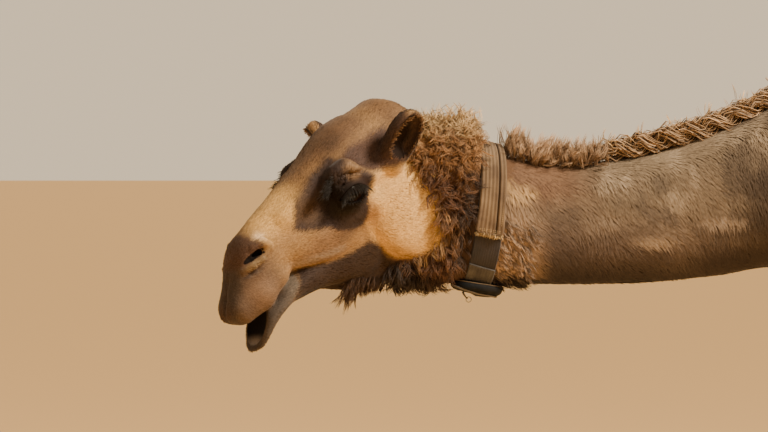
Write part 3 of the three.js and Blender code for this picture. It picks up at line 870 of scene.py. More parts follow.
    # Painted highlight on the upper rim of the nostril.
    paint("#c2a27a", here * near(both, (166, 36, 26), (20, 22, 16), 0.9))
    paint("#4c372a", here * within(a, b, MUZZLE_TOP, 0.006))
    # Painted light on the nostril's lower rim, and painted shade in the crease below it.
    paint("#6b583f", here * near(both, (198, 40, -4), (34, 16, 7), 0.5))
    paint("#2a1c15", here * near(both, (216, 40, -14), (34, 16, 6), 0.8))
    # Painted shade in the cleft down the middle of the upper lip.
    paint("#33251c", here * near(head, (250, 0, -30), (50, 6, 60), 0.8))
    paint("#473e36", here * within(a, b, LOWER_LIP, 0.003))
    paint("#594e42", here * within(a, b, LOWER_LIP, 0.003) * smooth_fall(a, 0.200, 0.150))
    # Painted shade, near black, inside the mouth and nostrils; painted light on the inner face of the lower
    # lip, lifting the shade there.
    paint("#0f0a08", inside_openings(head, 0.0008))
    paint("#85766a", inside_openings(head, 0.0008) * near(head, (264, 0, -132), (30, 50, 18), 0.9))
    # ears
    for name, _ in SIDES:
        q = in_ear(head, name)
        ear = smooth_fall(from_ear(head, name, (0.024, 0.036, 0.058)), 1, 0.9)
        paint("#3d2c22", ear * smooth_step(q[:, 2], -0.05, -0.03))
        # A paler rim on one side of the ear: painted light.
        rim = smooth_step(np.linalg.norm(q[:, 1:] / [0.030, 0.054], axis=1), 0.90, 1.0)
        paint("#94724c", ear * rim * smooth_step(q[:, 1] + 0.6 * q[:, 2], 0.002, 0.016))
        # Near black in the hollow of the cup: painted shade.
        inner = smooth_fall(from_ear(head, name, (0.019, 0.0235, 0.0445), CUP_MIDDLE), 1, 0.93)
        paint("#1c120c", ear * inner)
    paint("#4b3f35", bare_leg(points))
    return colour * (1 + 0.05 * small[:, None])


# ---- The coat: closed, pointed strands with three sides, and thin folded blades ----


def unit(vectors):
    """The same directions, at length 1."""
    return vectors / np.maximum(np.linalg.norm(vectors, axis=-1, keepdims=True), 1e-9)


def flat_to(vectors, normals):
    """Directions laid flat on the surfaces that these normals stand on."""
    return unit(vectors - (vectors * normals).sum(axis=-1, keepdims=True) * normals)


class Coat:
    """One piece of the coat, gathered strand by strand before it becomes a mesh."""

    def __init__(self, name, chart, slot="coat"):
        self.name, self.chart, self.slot = name, chart, slot
        self.points, self.faces, self.colours, self.patches, self.facing, self.count = [], [], [], [], [], 0

    def gather(self, points, faces, t, across, roots, colours, over, root_shade, tip_shade):
        """Adds many strands of one make: points (count, each, 3), and what is the same for all of them."""
        count, each, _ = points.shape
        first = np.arange(count) * each + self.count
        self.faces.append((np.array(faces) + first[:, None, None]).reshape(-1, 3))
        self.points.append(points.reshape(-1, 3))
        self.facing.append(np.repeat(over, each, axis=0))
        self.count += count * each
        shade = root_shade + (tip_shade - root_shade) * t
        self.colours.append((colours[:, None] * shade[None, :, None]).reshape(-1, 3))
        spot = self.chart(roots)[:, None] + np.stack([across * 0.0015, (t - 0.5) * 0.003], axis=1)[None]
        self.patches.append(spot.reshape(-1, 2))

    def add_strands(self, paths, widths, over, roots, colours, root_shade=0.72, tip_shade=1.1):
        """paths: (count, steps, 3). widths: (count, steps). over: the side that faces outwards."""
        count, steps, _ = paths.shape
        tangent = unit(np.gradient(paths, axis=1))
        side = unit(np.cross(tangent, over[:, None]))
        out = np.cross(side, tangent)
        ring = np.stack([-side, side, 0.75 * out], axis=2)[:, 1:-1] * widths[:, 1:-1, None, None] / 2
        ring = (ring + paths[:, 1:-1, None]).reshape(count, -1, 3)
        rings = steps - 2
        faces = [(0, 1 + (j + 1) % 3, 1 + j) for j in range(3)]
        for r in range(rings - 1):
            for j in range(3):
                p, q = 1 + 3 * r + j, 1 + 3 * r + (j + 1) % 3
                faces += [(p, q, q + 3), (p, q + 3, p + 3)]
        last = 3 * rings + 1
        faces += [(last - 3 + j, last - 3 + (j + 1) % 3, last) for j in range(3)]
        t = np.concatenate([[0], np.repeat(np.linspace(0, 1, steps)[1:-1], 3), [1]])
        across = np.concatenate([[0], np.tile([-1, 1, 0], rings), [0]])
        points = np.concatenate([paths[:, :1], ring, paths[:, -1:]], axis=1)
        self.gather(points, faces, t, across, roots, colours, over, root_shade, tip_shade)

    def add_blades(self, start, middle, end, width, over, roots, colours, root_shade=0.82, tip_shade=1.1):
        """Thin blades folded across their middle, each closed by four faces."""
        side = unit(np.cross(end - start, over)) * width[:, None] / 2
        points = np.stack([start, middle - side, middle + side, end], axis=1)
        faces = [(0, 2, 1), (1, 2, 3), (0, 1, 3), (0, 3, 2)]
        t, across = np.array([0, 0.45, 0.45, 1.0]), np.array([0, -1, 1, 0])
        self.gather(points, faces, t, across, roots, colours, over, root_shade, tip_shade)

    def made(self, material, soft=0.0):
        """The piece's mesh. `soft` turns its shading towards that of the skin below."""
        points, faces = np.concatenate(self.points), np.concatenate(self.faces)
        obj = add_mesh(self.name, points, faces, material)
        paint_mesh(obj, np.concatenate(self.colours))
        layer = obj.data.uv_layers.new(name="OFBake")
        layer.data.foreach_set("uv", np.concatenate(self.patches)[faces.ravel()].astype(np.float32).ravel())
        if soft:
            own = vertex_normals(points, faces)
            facing = unit(own * (1 - soft) + np.concatenate(self.facing) * soft)
            obj.data.normals_split_custom_set_from_vertices(facing)
        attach(obj, "root")
        return obj


def add_mesh(name, points, faces, material):
    """An object of triangles, with smooth shading."""
    mesh = bpy.data.meshes.new(name)
    mesh.vertices.add(len(points))
    mesh.vertices.foreach_set("co", np.asarray(points, np.float32).ravel())
    mesh.loops.add(len(faces) * 3)
    mesh.loops.foreach_set("vertex_index", np.asarray(faces, np.int32).ravel())
    mesh.polygons.add(len(faces))
    mesh.polygons.foreach_set("loop_start", np.arange(0, len(faces) * 3, 3, dtype=np.int32))
    mesh.polygons.foreach_set("use_smooth", np.ones(len(faces), bool))
    mesh.update(calc_edges=True)
    mesh.materials.append(material)
    obj = bpy.data.objects.new(name, mesh)
    bpy.context.scene.collection.objects.link(obj)
    return obj


def paint_mesh(obj, colours):
    """Stores a colour at each point, for the material to read."""
    layer = obj.data.color_attributes.new("Markings_and_painted_shading", "FLOAT_COLOR", "POINT")
    rgba = np.concatenate([colours, np.ones((len(colours), 1))], axis=1)
    layer.data.foreach_set("color", np.clip(rgba, 0, 1).astype(np.float32).ravel())


def around(points, along, middle_y, middle_z, low, high):
    """A chart wrapped round an axis: how far along it, and the angle about it."""
    angle = np.arctan2(points[:, 1] - middle_y, points[:, 2] - middle_z) / (2 * np.pi) + 0.5
    return np.stack([0.02 + 0.96 * (along - low) / (high - low), 0.02 + 0.96 * angle], axis=1)


def head_chart(points):
    """The chart wrapped round the head, from the nose back."""
    head = to_head(points)
    return around(head, head[:, 0], 0, -0.03, -0.26, 0.30)


def body_chart(points):
    """The chart wrapped round the neck and trunk."""
    x = points[:, 0]
    middle = np.interp(x, [row[0] * MM for row in BODY], [(row[1] + row[2]) / 2 * MM for row in BODY])
    return around(points, x, 0, middle, -1.20, 1.46)


def leg_chart(points):
    """The chart wrapped round each leg, in a quarter of its own."""
    right, hind = points[:, 1] > 0, points[:, 0] > 0.5
    turned = np.stack([points[:, 2], points[:, 1] - np.where(right, 0.165, -0.165),
                       points[:, 0] - np.where(hind, 1.1, 0.0)], axis=1)
    spot = around(turned, turned[:, 0], 0, 0, 0, 1.7)
    return spot * [1, 0.25] + np.stack([0 * right, 0.25 * right + 0.5 * hind], axis=1)


def vertex_normals(points, faces):
    """Each point's outward direction, from the faces round it."""
    corners = points[faces]
    normal = np.cross(corners[:, 1] - corners[:, 0], corners[:, 2] - corners[:, 0])
    spread = np.repeat(normal, 3, axis=0)
    total = [np.bincount(faces.ravel(), spread[:, i], len(points)) for i in range(3)]
    return unit(np.stack(total, axis=1))


def roots_on(points, faces, spacing_at, seed):
    """Evenly scattered places on the skin, with its normal there."""
    rng = np.random.default_rng(seed)
    corners = points[faces]
    area = np.linalg.norm(np.cross(corners[:, 1] - corners[:, 0], corners[:, 2] - corners[:, 0]), axis=1) / 2
    spacing = spacing_at(corners.mean(axis=1))
    number = np.where(spacing > 0, area / np.maximum(spacing, 1e-4) ** 2 * 2.0, 0)
    number = np.floor(number + rng.random(len(faces))).astype(int)
    face = np.repeat(np.arange(len(faces)), number)
    share = np.sqrt(rng.random(len(face))), rng.random(len(face))
    weight = np.stack([1 - share[0], share[0] * (1 - share[1]), share[0] * share[1]], axis=1)[..., None]
    place = (corners[face] * weight).sum(axis=1)
    normal = unit((vertex_normals(points, faces)[faces[face]] * weight).sum(axis=1))
    cell = np.floor(place / (0.80 * spacing[face])[:, None]).astype(np.int64)
    key = (cell * [73856093, 19349663, 83492791]).sum(axis=1)
    _, first = np.unique(key, return_index=True)
    return place[first], normal[first]


def lie_of(points, normals):
    """Which way the coat lies: from the nose up to the ears, back along the body, down the legs."""
    x, y, z = points.T
    count = len(points)
    head = to_head(points)
    a, side, b = head.T

    def towards(*vector):
        return np.tile(np.array(vector, float), (count, 1))

    way = towards(1.0, 0, -0.35)
    low = smooth_fall(z, 1.55, 1.2)[:, None]
    way = way * (1 - low) + towards(0.6, 0, -0.8) * low
    neck = smooth_fall(x, -0.3, -0.5)[:, None]
    way = way * (1 - neck) + towards(0.55, 0, -0.83) * neck
    crest = (smooth_fall(x, 0.0, -0.3) * smooth_fall(np.abs(y), 0.05, 0.02))[:, None]
    way = way * (1 - crest) + towards(1, 0, 0.1) * crest
    leg = (smooth_fall(z, 1.2, 1.0) * smooth_step(np.abs(y), 0.05, 0.1))[:, None]
    way = way * (1 - leg) + towards(0.12, 0, -1) * leg
    tail = smooth_step(x, 1.34, 1.38)[:, None]
    way = way * (1 - tail) + towards(0.1, 0, -1) * tail
    hump = smooth_step(z, 1.85, 1.98)[:, None]
    way = way * (1 - hump) + towards(0.7, 0, 0.6) * hump
    on_head = (smooth_step(a, -0.23, -0.19) * smooth_fall(x, -1.04, -1.08))[:, None]
    cheek = smooth_fall(b, 0.02, -0.08)[:, None]
    lips = smooth_step(a, 0.16, 0.24)[:, None]
    own = towards(-1, 0, 0) * (1 - cheek) + towards(-0.85, 0, -0.5) * cheek
    own = own * (1 - lips) + towards(-0.45, 0, -0.8) * lips
    from_eye = head - EYE_AT * np.where(side[:, None] > 0, 1, [1, -1, 1])
    ring = np.exp(-((np.linalg.norm(from_eye, axis=1) / 0.058) ** 4))[:, None]
    own = own * (1 - ring) + unit(from_eye) * ring
    for name, _ in SIDES:
        ear = smooth_fall(from_ear(head, name, (0.026, 0.038, 0.060)), 1.1, 0.85)[:, None]
        own = own * (1 - ear) + ear_axes(name)[2] * ear
    way = way * (1 - on_head) + (own @ HEAD_AXES) * on_head
    swirl = 0.30 * ripple(points, 0.11, 8) + 0.16 * ripple(points, 0.035, 9)
    way = flat_to(way, normals)
    return unit(way + np.cross(normals, way) * swirl[:, None])


def lying(coat, roots, normals, length, width, lift, seed, shade=0.10, lean=0.25):
    """Short flat tufts, each one pointed blade that lies along the skin and overlaps the next."""
    rng = np.random.default_rng(seed)
    count = len(roots)
    way = lie_of(roots, normals)
    side = np.cross(normals, way)
    way = unit(way + side * rng.normal(0, lean, (count, 1)))
    size = np.broadcast_to(length, count) * rng.uniform(0.75, 1.3, count)
    wide = np.broadcast_to(width, count) * rng.uniform(0.8, 1.25, count)
    rise = np.broadcast_to(lift, count) * rng.uniform(0.5, 1.3, count)
    colours = markings_and_painted_shading(roots) * (1 + rng.normal(0, shade, (count, 1)))
    middle = roots + way * (size * 0.45)[:, None] + normals * (rise * 0.75)[:, None]
    end = roots + way * size[:, None] + normals * rise[:, None]
    for part in (middle, end):
        part[:, 2] = np.maximum(part[:, 2], 0.003)  # no hair goes through the floor
    coat.add_blades(roots - normals * 0.0012, middle, end, wide, normals, roots, colours)


def curled(coat, roots, way, out, length, width, curl, turns, steps, seed, strands=5, bundle=2.2, droop=0.0,
           shade=0.2, root_shade=0.55, tip_shade=1.2, colours=None):
    """Locks: bundles of thin strands that share one wave or ringlet.

    `bundle` is a lock's radius in strand widths, `curl` a ringlet's radius and `turns` its number.
    """
    rng = np.random.default_rng(seed)
    count = len(roots)
    t = np.linspace(0, 1, steps)[None, :, None]
    size = (np.broadcast_to(length, count) * rng.uniform(0.7, 1.3, count))[:, None, None]
    wide = np.broadcast_to(width, count)[:, None]
    side = np.cross(out, way)
    each = (count, 1, 1)
    phase = rng.uniform(0, ROUND, each)
    spin = ROUND * turns * rng.uniform(0.7, 1.3, each) * np.where(rng.random(each) < 0.5, -1, 1)
    radius = np.broadcast_to(curl, count)[:, None, None] * rng.uniform(0.6, 1.4, each)
    tone = 1 + rng.normal(0, shade, (count, 1))
    base = markings_and_painted_shading(roots) if colours is None else colours
    path = roots[:, None] + way[:, None] * size * t
    path = path + radius * np.minimum(1, t * 2.5) * (
        side[:, None] * (np.cos(spin * t + phase) - np.cos(phase))
        + out[:, None] * (np.sin(spin * t + phase) - np.sin(phase))
    )
    path[..., 2] -= (droop * t**2 * size)[..., 0]
    spread = 0.35 + 0.65 * np.sin(np.pi * np.clip(t * 0.8 + 0.15, 0, 1))
    apart = (wide * bundle)[:, None]
    for _ in range(strands):
        own = path + rng.normal(0, 1, (count, 1, 3)) * apart * 0.5 * spread
        own = own + rng.normal(0, 1, (count, 1, 3)) * apart * 0.45 * t**2
        thick = wide * (0.45 + 0.55 * np.sin(np.pi * t[..., 0]) ** 0.7)
        tint = base * tone * (1 + rng.normal(0, 0.10, (count, 1)))
        coat.add_strands(own, thick, out, roots, tint, root_shade, tip_shade)


# ---- Finishes ----


def add_node(tree, kind, settings=None, **inputs):
    """Adds a node. An input is given a value, or an output of another node to be linked from."""
    node = tree.nodes.new(kind)
    for key, value in (settings or {}).items():
        setattr(node, key, value)
    for key, value in inputs.items():
        socket = node.inputs[int(key[1:])] if key[0] == "_" else node.inputs[key.replace("_", " ")]
        if isinstance(value, bpy.types.NodeSocket):
            tree.links.new(value, socket)
        else:
            socket.default_value = value
    return node


def rgba(code):
    """A colour written as sRGB hex, in the form that a node's socket takes."""
    return (*linear(code), 1.0)


def new_finish(name, **fixed):
    """A material with one shader; constant settings go straight on it. Returns both and the tree."""
    material = bpy.data.materials.new(name)
    material.use_nodes = True
    tree = material.node_tree
    tree.nodes.clear()
    shader = add_node(tree, "ShaderNodeBsdfPrincipled", **fixed)
    add_node(tree, "ShaderNodeOutputMaterial", Surface=shader.outputs[0])
    return material, tree, shader


def add_math(tree, operation, *values):
    """The result of a calculation on one or two values."""
    numbered = {f"_{i}": value for i, value in enumerate(values)}
    return add_node(tree, "ShaderNodeMath", {"operation": operation}, **numbered).outputs[0]


def add_mix(tree, factor, *colours):
    """A colour between two, each written as hex or taken from another node."""
    first, second = [rgba(colour) if isinstance(colour, str) else colour for colour in colours]
    mix = add_node(tree, "ShaderNodeMix", {"data_type": "RGBA"}, Factor=factor, _6=first, _7=second)
    return mix.outputs[2]


def add_blotches(tree, width, detail, low, high, darkest=0.0, palest=1.0):
    """Noise in blotches `width` mm wide, as it is and with `low` to `high` made `darkest` to `palest`."""
    place = add_node(tree, "ShaderNodeTexCoord").outputs["Object"]
    noise = add_node(tree, "ShaderNodeTexNoise", Vector=place, Scale=1000 / width, Detail=detail).outputs[0]
    level = add_node(tree, "ShaderNodeMapRange", Value=noise, From_Min=low, From_Max=high,
                     To_Min=darkest, To_Max=palest)
    return noise, level.outputs[0]


def add_bump(tree, shader, height, strength, distance):
    """Shades the surface as if it rose and fell with a pattern, by up to `distance` metres."""
    bump = add_node(tree, "ShaderNodeBump", Strength=strength, Distance=distance, Height=height)
    tree.links.new(bump.outputs[0], shader.inputs["Normal"])


def colour_by_markings_and_painted_shading(tree, shader, brightness):
    """Gives the surface the colour stored in its mesh, made darker or paler."""
    marks = add_node(tree, "ShaderNodeVertexColor", {"layer_name": "Markings_and_painted_shading"})
    colour = add_node(tree, "ShaderNodeVectorMath", {"operation": "SCALE"}, _0=marks.outputs[0],
                      Scale=brightness)
    tree.links.new(colour.outputs[0], shader.inputs["Base Color"])


def coat_finish(name, streak):
    """Dry, dusty hair in locks `streak` mm wide, each of which catches the light a little differently."""
    material, tree, shader = new_finish(name, Roughness=0.7, Specular_IOR_Level=0.15, Sheen_Weight=0.04)
    _, brightness = add_blotches(tree, streak, 3.0, 0.3, 0.7, 0.82, 1.14)
    colour_by_markings_and_painted_shading(tree, shader, brightness)
    return material


def hide_finish():
    """Weathered hide with pores 2.4 mm apart: matt, with soft light only on its folds."""
    material, tree, shader = new_finish("hide", Roughness=0.8, Specular_IOR_Level=0.08)
    pores, brightness = add_blotches(tree, 2.4, 4.0, 0.3, 0.7, 0.75, 1.05)
    colour_by_markings_and_painted_shading(tree, shader, brightness)
    add_bump(tree, shader, pores, 0.5, 0.001)
    return material


HIDE = hide_finish()
# Camel hair, short and bleached by the sun.
HAIR = coat_finish("camel_hair", 3.8)
# Camel wool, in thicker locks.
WOOL_HAIR = coat_finish("camel_wool", 5.5)
# Eyelash hair: black-brown, stiff and slightly greasy, so it glints along its length.
LASH, _, _ = new_finish("eyelash_hair", Base_Color=rgba("#171009"), Roughness=0.45)

# ---- The skin ----
skin_points, skin_faces = grown_skin()
skin = add_mesh("skin", skin_points, skin_faces, HIDE)
paint_mesh(skin, markings_and_painted_shading(skin_points) * 0.9)
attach(skin, "root")
FLESH = [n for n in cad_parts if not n.startswith(("eye", "collar")) and "nail" not in n]
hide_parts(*FLESH)

# ---- The short coat ----


def bare(points):
    """1 where no hair grows: in the mouth and nostrils, on lids, soles and worn pads, under the collar."""
    head = to_head(points)
    both = head * [1, 0, 1] + np.abs(head) * [0, 1, 0]
    worn = near(both, (-8, 92, -6), (35, 34, 22), 0.05)
    worn = np.maximum(worn, inside_openings(head, 0.0024 + 0.0018 * smooth_step(head[:, 2], -0.04, -0.03)))
    for name, _ in SIDES:
        worn = np.maximum(worn, from_ear(head, name, (0.0175, 0.022, 0.0425), CUP_MIDDLE) < 1)
    worn = np.maximum(worn, bare_leg(points) > 0.35)
    worn = np.maximum(worn, points[:, 2] < 0.014)
    return np.maximum(worn, np.abs(from_collar(points)) < 0.024)


def part_of(points):
    """Which piece of the coat a place belongs to."""
    x, y, z = points.T
    head = to_head(points)
    on_head = (head[:, 0] > -0.225) & (x < -1.06)
    ear = np.zeros(len(points), bool)
    for name, _ in SIDES:
        ear |= from_ear(head, name, (0.026, 0.036, 0.060)) < 1
    leg = ((z < 1.02) & (np.abs(y) > 0.06) & (x < 1.33)) | (z < 0.9) & (x < 1.33)
    names = np.full(len(points), "trunk_left", dtype="<U16")
    names[y > 0] = "trunk_right"
    names[z > 1.80] = "hump"
    names[x < -0.28] = np.where(y[x < -0.28] > 0, "neck_right", "neck_left")
    names[leg & (x < 0.5)] = "forelegs"
    names[leg & (x >= 0.5)] = "hindlegs"
    names[(x > 1.36) & (z < 1.5)] = "tail"
    names[on_head] = np.where(head[on_head, 1] > 0, "head_left", "head_right")
    names[ear & on_head] = "ears"
    return names


SHORT = {  # spacing, length, width, lift of the tips, in millimetres
    "head_left": (2.15, 9.0, 1.5, 1.3),
    "head_right": (2.35, 9.0, 1.5, 1.3),
    "ears": (2.2, 9.0, 1.5, 1.8),
    "neck_left": (3.4, 24, 3.2, 0.6),
    "neck_right": (3.8, 24, 3.4, 0.6),
    "trunk_left": (8.7, 32, 6.5, 5.0),
    "trunk_right": (9.0, 32, 6.5, 5.0),
    "hump": (8.0, 38, 6.0, 8.0),
    "forelegs": (6.2, 18, 4.2, 3.0),
    "hindlegs": (6.2, 18, 4.2, 3.0),
    "tail": (5.0, 20, 4.0, 4.0),
}


def spacing_at(points):
    """How far apart the short coat's tufts are at each place."""
    names = part_of(points)
    spacing = np.zeros(len(points))
    for name, (gap, *_) in SHORT.items():
        spacing[names == name] = gap * MM
    return spacing


roots, normals = roots_on(skin_points, skin_faces, spacing_at, 11)
keep = bare(roots) < 0.5
roots, normals = roots[keep], normals[keep]
names = part_of(roots)
along_head = to_head(roots)[:, 0]
on_face = np.isin(names, ["head_left", "head_right"])
# The hair is shortest on the muzzle and longest on the crown.
fuller = 1 - 0.45 * on_face * smooth_step(along_head, 0.12, 0.22)
fuller += 0.45 * on_face * smooth_fall(along_head, -0.05, -0.17)
for name, (gap, length, width, lift) in SHORT.items():
    chart = head_chart if name.startswith(("head", "ear")) else leg_chart if "legs" in name else body_chart
    own, short_coat = names == name, Coat("coat_" + name, chart)
    more, sleek = fuller[own], name.startswith("neck")
    lying(short_coat, roots[own], normals[own], more * length * MM, width * MM, more * lift * MM, 21,
          0.06 if sleek else 0.10, 0.18 if sleek else 0.25)
    short_coat.made(HAIR, 0.9 if sleek else 0.7)


# ---- Long hair: wool on the nape, fringe on the throat, mane and plait on the crest, tufts ----
hair_random = np.random.default_rng(5)


def random_ways(count):
    """Directions picked by chance, drawn from the long hair's own generator."""
    return unit(hair_random.normal(size=(count, 3)))


def behind_head(points):
    """True from the back of the cheek and the underside of the jaw to the collar."""
    head = to_head(points)
    ears = np.min([from_ear(head, name, (0.028, 0.038, 0.064)) for name, _ in SIDES], axis=0)
    face = within(head[:, 0], head[:, 2], HEAD_SIDE, 0.003) > 0.5
    gap = np.where(points[:, 2] > 1.40, 0.030, 0.040)
    return ~face & (ears > 1) & (points[:, 0] < -0.98) & (from_collar(points) < -gap)


def rooted(coat, where, gap, lean, rise, mess, length, width, curl, turns, steps, seed, **looks):
    """Locks rooted in the skin where `where` holds, that lean one way and rise off it."""
    roots, out = roots_on(skin_points, skin_faces, lambda p: gap * MM * where(p), seed)
    way = unit(flat_to(np.array(lean) + mess * random_ways(len(roots)), out) + rise * out)
    sizes = length * MM, width * MM, curl * MM
    curled(coat, roots, way, flat_to(out, way), *sizes, turns, steps, seed, **looks)


def on_top(points):
    return behind_head(points) & (points[:, 2] > 1.385) & (points[:, 0] > -1.100)


def on_nape(points):
    x, y, z = points.T
    return behind_head(points) & (z > 1.290) & (x > -1.112) & (z < 1.40)


def on_throat(points):
    x, y, z = points.T
    return behind_head(points) & (z < 1.300) & (x > -1.150) & ~((x > -1.070) & (z < 1.195))


def on_chin(points):
    x, y, z = points.T
    return behind_head(points) & (np.abs(x + 1.190) < 0.032) & (z < 1.180)


def on_chin_front(points):
    return on_chin(points) & (points[:, 0] < -1.203)


def behind_collar(points):
    gap = from_collar(points)
    return (gap > 0.022) & (gap < 0.078) & (points[:, 2] < 1.275)


wool = Coat("coat_nape_wool", body_chart)
rooted(wool, on_top, 6.6, (0.25, 0, 0.1), 0.55, 1.0, 27, 1.05, 5.5, 1.0, 7, 31, strands=6, bundle=4.6,
       shade=0.12, root_shade=0.85, tip_shade=1.2)
rooted(wool, on_nape, 8.0, (0.30, 0, -0.8), 0.32, 0.7, 32, 1.05, 4.6, 0.9, 7, 32, strands=6, bundle=4.6,
       shade=0.14, root_shade=0.85, tip_shade=1.25)
count = 110
wisps = random_ways(count) * [0.040, 0.03, 0.006] + np.array([-1.046, -0.008, 1.440])
up = unit(np.array([0.1, 0, 1.0]) + 0.5 * random_ways(count))
curled(wool, wisps, up, flat_to(random_ways(count), up), 0.034, 0.0008, 0.006, 0.8, 8, 33, strands=3)
wool.made(WOOL_HAIR, 0.25)

fringe = Coat("coat_throat_fringe", body_chart)
rooted(fringe, on_throat, 6.4, (0.10, 0, -1.0), 0.36, 0.45, 32, 1.1, 4.0, 0.7, 6, 34, strands=5, bundle=3.6,
       shade=0.14, root_shade=0.6, tip_shade=1.05)
for place, gap, long, seed in ((on_chin, 5.5, 17, 35), (on_chin_front, 6.5, 36, 37)):
    rooted(fringe, place, gap, (-0.35, -0.1, -0.9), 0.60, 0.3, long, 1.0, 2.2, 0.3, 6, seed, strands=4,
           bundle=2.6, droop=0.2, root_shade=1.6, tip_shade=2.6)
rooted(fringe, behind_collar, 7.0, (0.8, 0, -1.0), 0.20, 0.3, 27, 1.05, 2.5, 0.5, 6, 36, strands=5,
       bundle=2.8, root_shade=0.75, tip_shade=1.2)
fringe.made(WOOL_HAIR, 0.25)


# The mane stands between the collar and the place where the plait begins.
PLAIT_FROM, PLAIT_LONG = -0.785, 0.79
MANE_HALF_WIDE = 0.021


def crest_top(x):
    """Height of the crest's hair."""
    rows = [(-942, 1408), (-850, 1412), (-770, 1415), (-710, 1426), (-650, 1441), (-590, 1459),
            (-465, 1515), (-225, 1676), (0, 1800)]
    at, size = filled(rows)
    return np.interp(x, at, size[:, 0] * MM)


def on_mane(points):
    x, y, z = points.T
    return (np.abs(y) < MANE_HALF_WIDE) & (from_collar(points) > 0.024) & (x < PLAIT_FROM) & (z > 1.33)


crest = Coat("coat_crest", body_chart)
roots, out = roots_on(skin_points, skin_faces, lambda p: 0.0050 * on_mane(p), 41)
count = len(roots)
clump = ripple(roots, 0.035, 12)
fall = np.clip(roots[:, 1] / MANE_HALF_WIDE + hair_random.normal(0, 0.25, count), -1.2, 1.2)
way = np.stack([0.25 + 0.30 * clump, 0.35 * fall, 1 - 0.2 * np.abs(fall)], axis=1)
way = unit(way + 0.22 * random_ways(count))
mane_tint = linear("#856a4f") * (1 + 0.3 * clump)[:, None]
mane_long = 0.053 * (1 + 0.25 * ripple(roots, 0.05, 14) - 0.2 * np.abs(fall))
curled(crest, roots, way, flat_to(out, way), mane_long, 0.0011, 0.0055, 0.6, 6, 42, strands=7, bundle=4.2,
       droop=0.06, shade=0.14, root_shade=0.5, tip_shade=1.45, colours=mane_tint)


# One turn of the plait, its half width and half height, and how far its middle lies under the hair's top.
PLAIT_TURN, PLAIT_HALF_WIDE, PLAIT_HALF_HIGH, PLAIT_SUNK = 0.125, 0.0165, 0.0120, 0.019
# Steps along the plait's path, how many a hair spans, how many lie between one hair and the next, and
# the number of points on a hair.
PLAIT_STEPS, HAIR_SPAN, HAIR_GAP, HAIR_RINGS = 960, 80, 9, 7


def plait_path(t, strand):
    """Points on one of the plait's three strands; t is the distance along the crest."""
    turn = 2 * np.pi * (t / PLAIT_TURN + strand / 3)
    x = PLAIT_FROM + t
    back = unit(np.stack([np.ones_like(x), 0 * x, np.gradient(crest_top(x), x)], axis=-1))
    up = np.stack([-back[:, 2], 0 * x, back[:, 0]], axis=-1)
    middle = np.stack([x, PLAIT_HALF_WIDE * np.sin(turn), crest_top(x) - PLAIT_SUNK], axis=-1)
    return middle + up * (PLAIT_HALF_HIGH * np.sin(2 * turn))[:, None]


plait_steps = np.linspace(0, PLAIT_LONG, PLAIT_STEPS)
first = np.arange(0, PLAIT_STEPS - HAIR_SPAN - 2, HAIR_GAP)
for strand in range(3):
    line = plait_path(plait_steps, strand)
    for hair in range(11):
        base = np.minimum(first + hair_random.integers(0, HAIR_GAP, len(first)), PLAIT_STEPS - HAIR_SPAN - 5)
        own = line[base[:, None] + np.linspace(0, HAIR_SPAN, HAIR_RINGS).astype(int)]
        offset = hair_random.normal(0, 1, (len(first), 1, 3)) * 0.0050
        swell = np.sin(np.pi * np.linspace(0.05, 0.95, HAIR_RINGS))[None, :, None]
        own = own + offset * (0.5 + 0.7 * swell) + hair_random.normal(0, 0.0007, own.shape)
        # Strands are darker towards the plait's middle, where they cross: painted shade.
        outer = np.abs(line[base + HAIR_SPAN // 2, 1])[:, None] / PLAIT_HALF_WIDE
        shade = linear("#987c5e") * hair_random.uniform(0.75, 1.2, (len(first), 1)) * (0.6 + 0.45 * outer)
        thick = np.full((len(first), HAIR_RINGS), 0.0028) * (0.5 + 0.7 * swell[..., 0])
        over = unit(offset[:, 0] + 0.001 * random_ways(len(first)))
        crest.add_strands(own, thick, over, own[:, 0], shade, 0.75, 1.2)
# Hair ends that stand out of the plait, wherever two strands cross.
ends = plait_path(np.arange(0.012, PLAIT_LONG, 0.0417 / 2), 0) * [1, 0, 1]
ends = np.repeat(ends, 9, axis=0)
count = len(ends)
ends = ends + hair_random.normal(0, 1, (count, 3)) * [0.006, 0.010, 0.004]
sideways = hair_random.normal(0, 1, (count, 1)) * [0, 0.5, 0]
way = unit(np.array([0.1, 0, 0.8]) + sideways + 0.5 * random_ways(count))
curled(crest, ends, way, flat_to(random_ways(count), way), 0.027, 0.0011, 0.004, 0.4, 6, 43, strands=2,
       colours=np.tile(linear("#b08e62"), (count, 1)))
crest.made(WOOL_HAIR, 0.2)


def on_hump_top(points):
    return points[:, 2] > 1.99


hump_tuft = Coat("coat_hump_tuft", body_chart)
rooted(hump_tuft, on_hump_top, 15, (0.8, 0, -0.2), 0.16, 0.4, 44, 3.4, 4.0, 0.5, 6, 45, strands=3,
       bundle=2.2)
hump_tuft.made(WOOL_HAIR)

tail_tuft = Coat("coat_tail_tuft", body_chart)
count = 260
height = hair_random.uniform(1.03, 1.26, count)
angle = hair_random.uniform(0, ROUND, count)
start = np.stack([1.416 + 0.014 * np.cos(angle), 0.013 * np.sin(angle), height], axis=1)
out = np.stack([np.cos(angle), np.sin(angle), 0 * angle], axis=1)
way = unit(np.array([0, 0, -1.0]) + 0.16 * out)
curled(tail_tuft, start, way, flat_to(out, way), 0.085, 0.0030, 0.004, 0.4, 6, 46, strands=4,
       colours=np.tile(linear("#54402f"), (count, 1)))
tail_tuft.made(WOOL_HAIR)

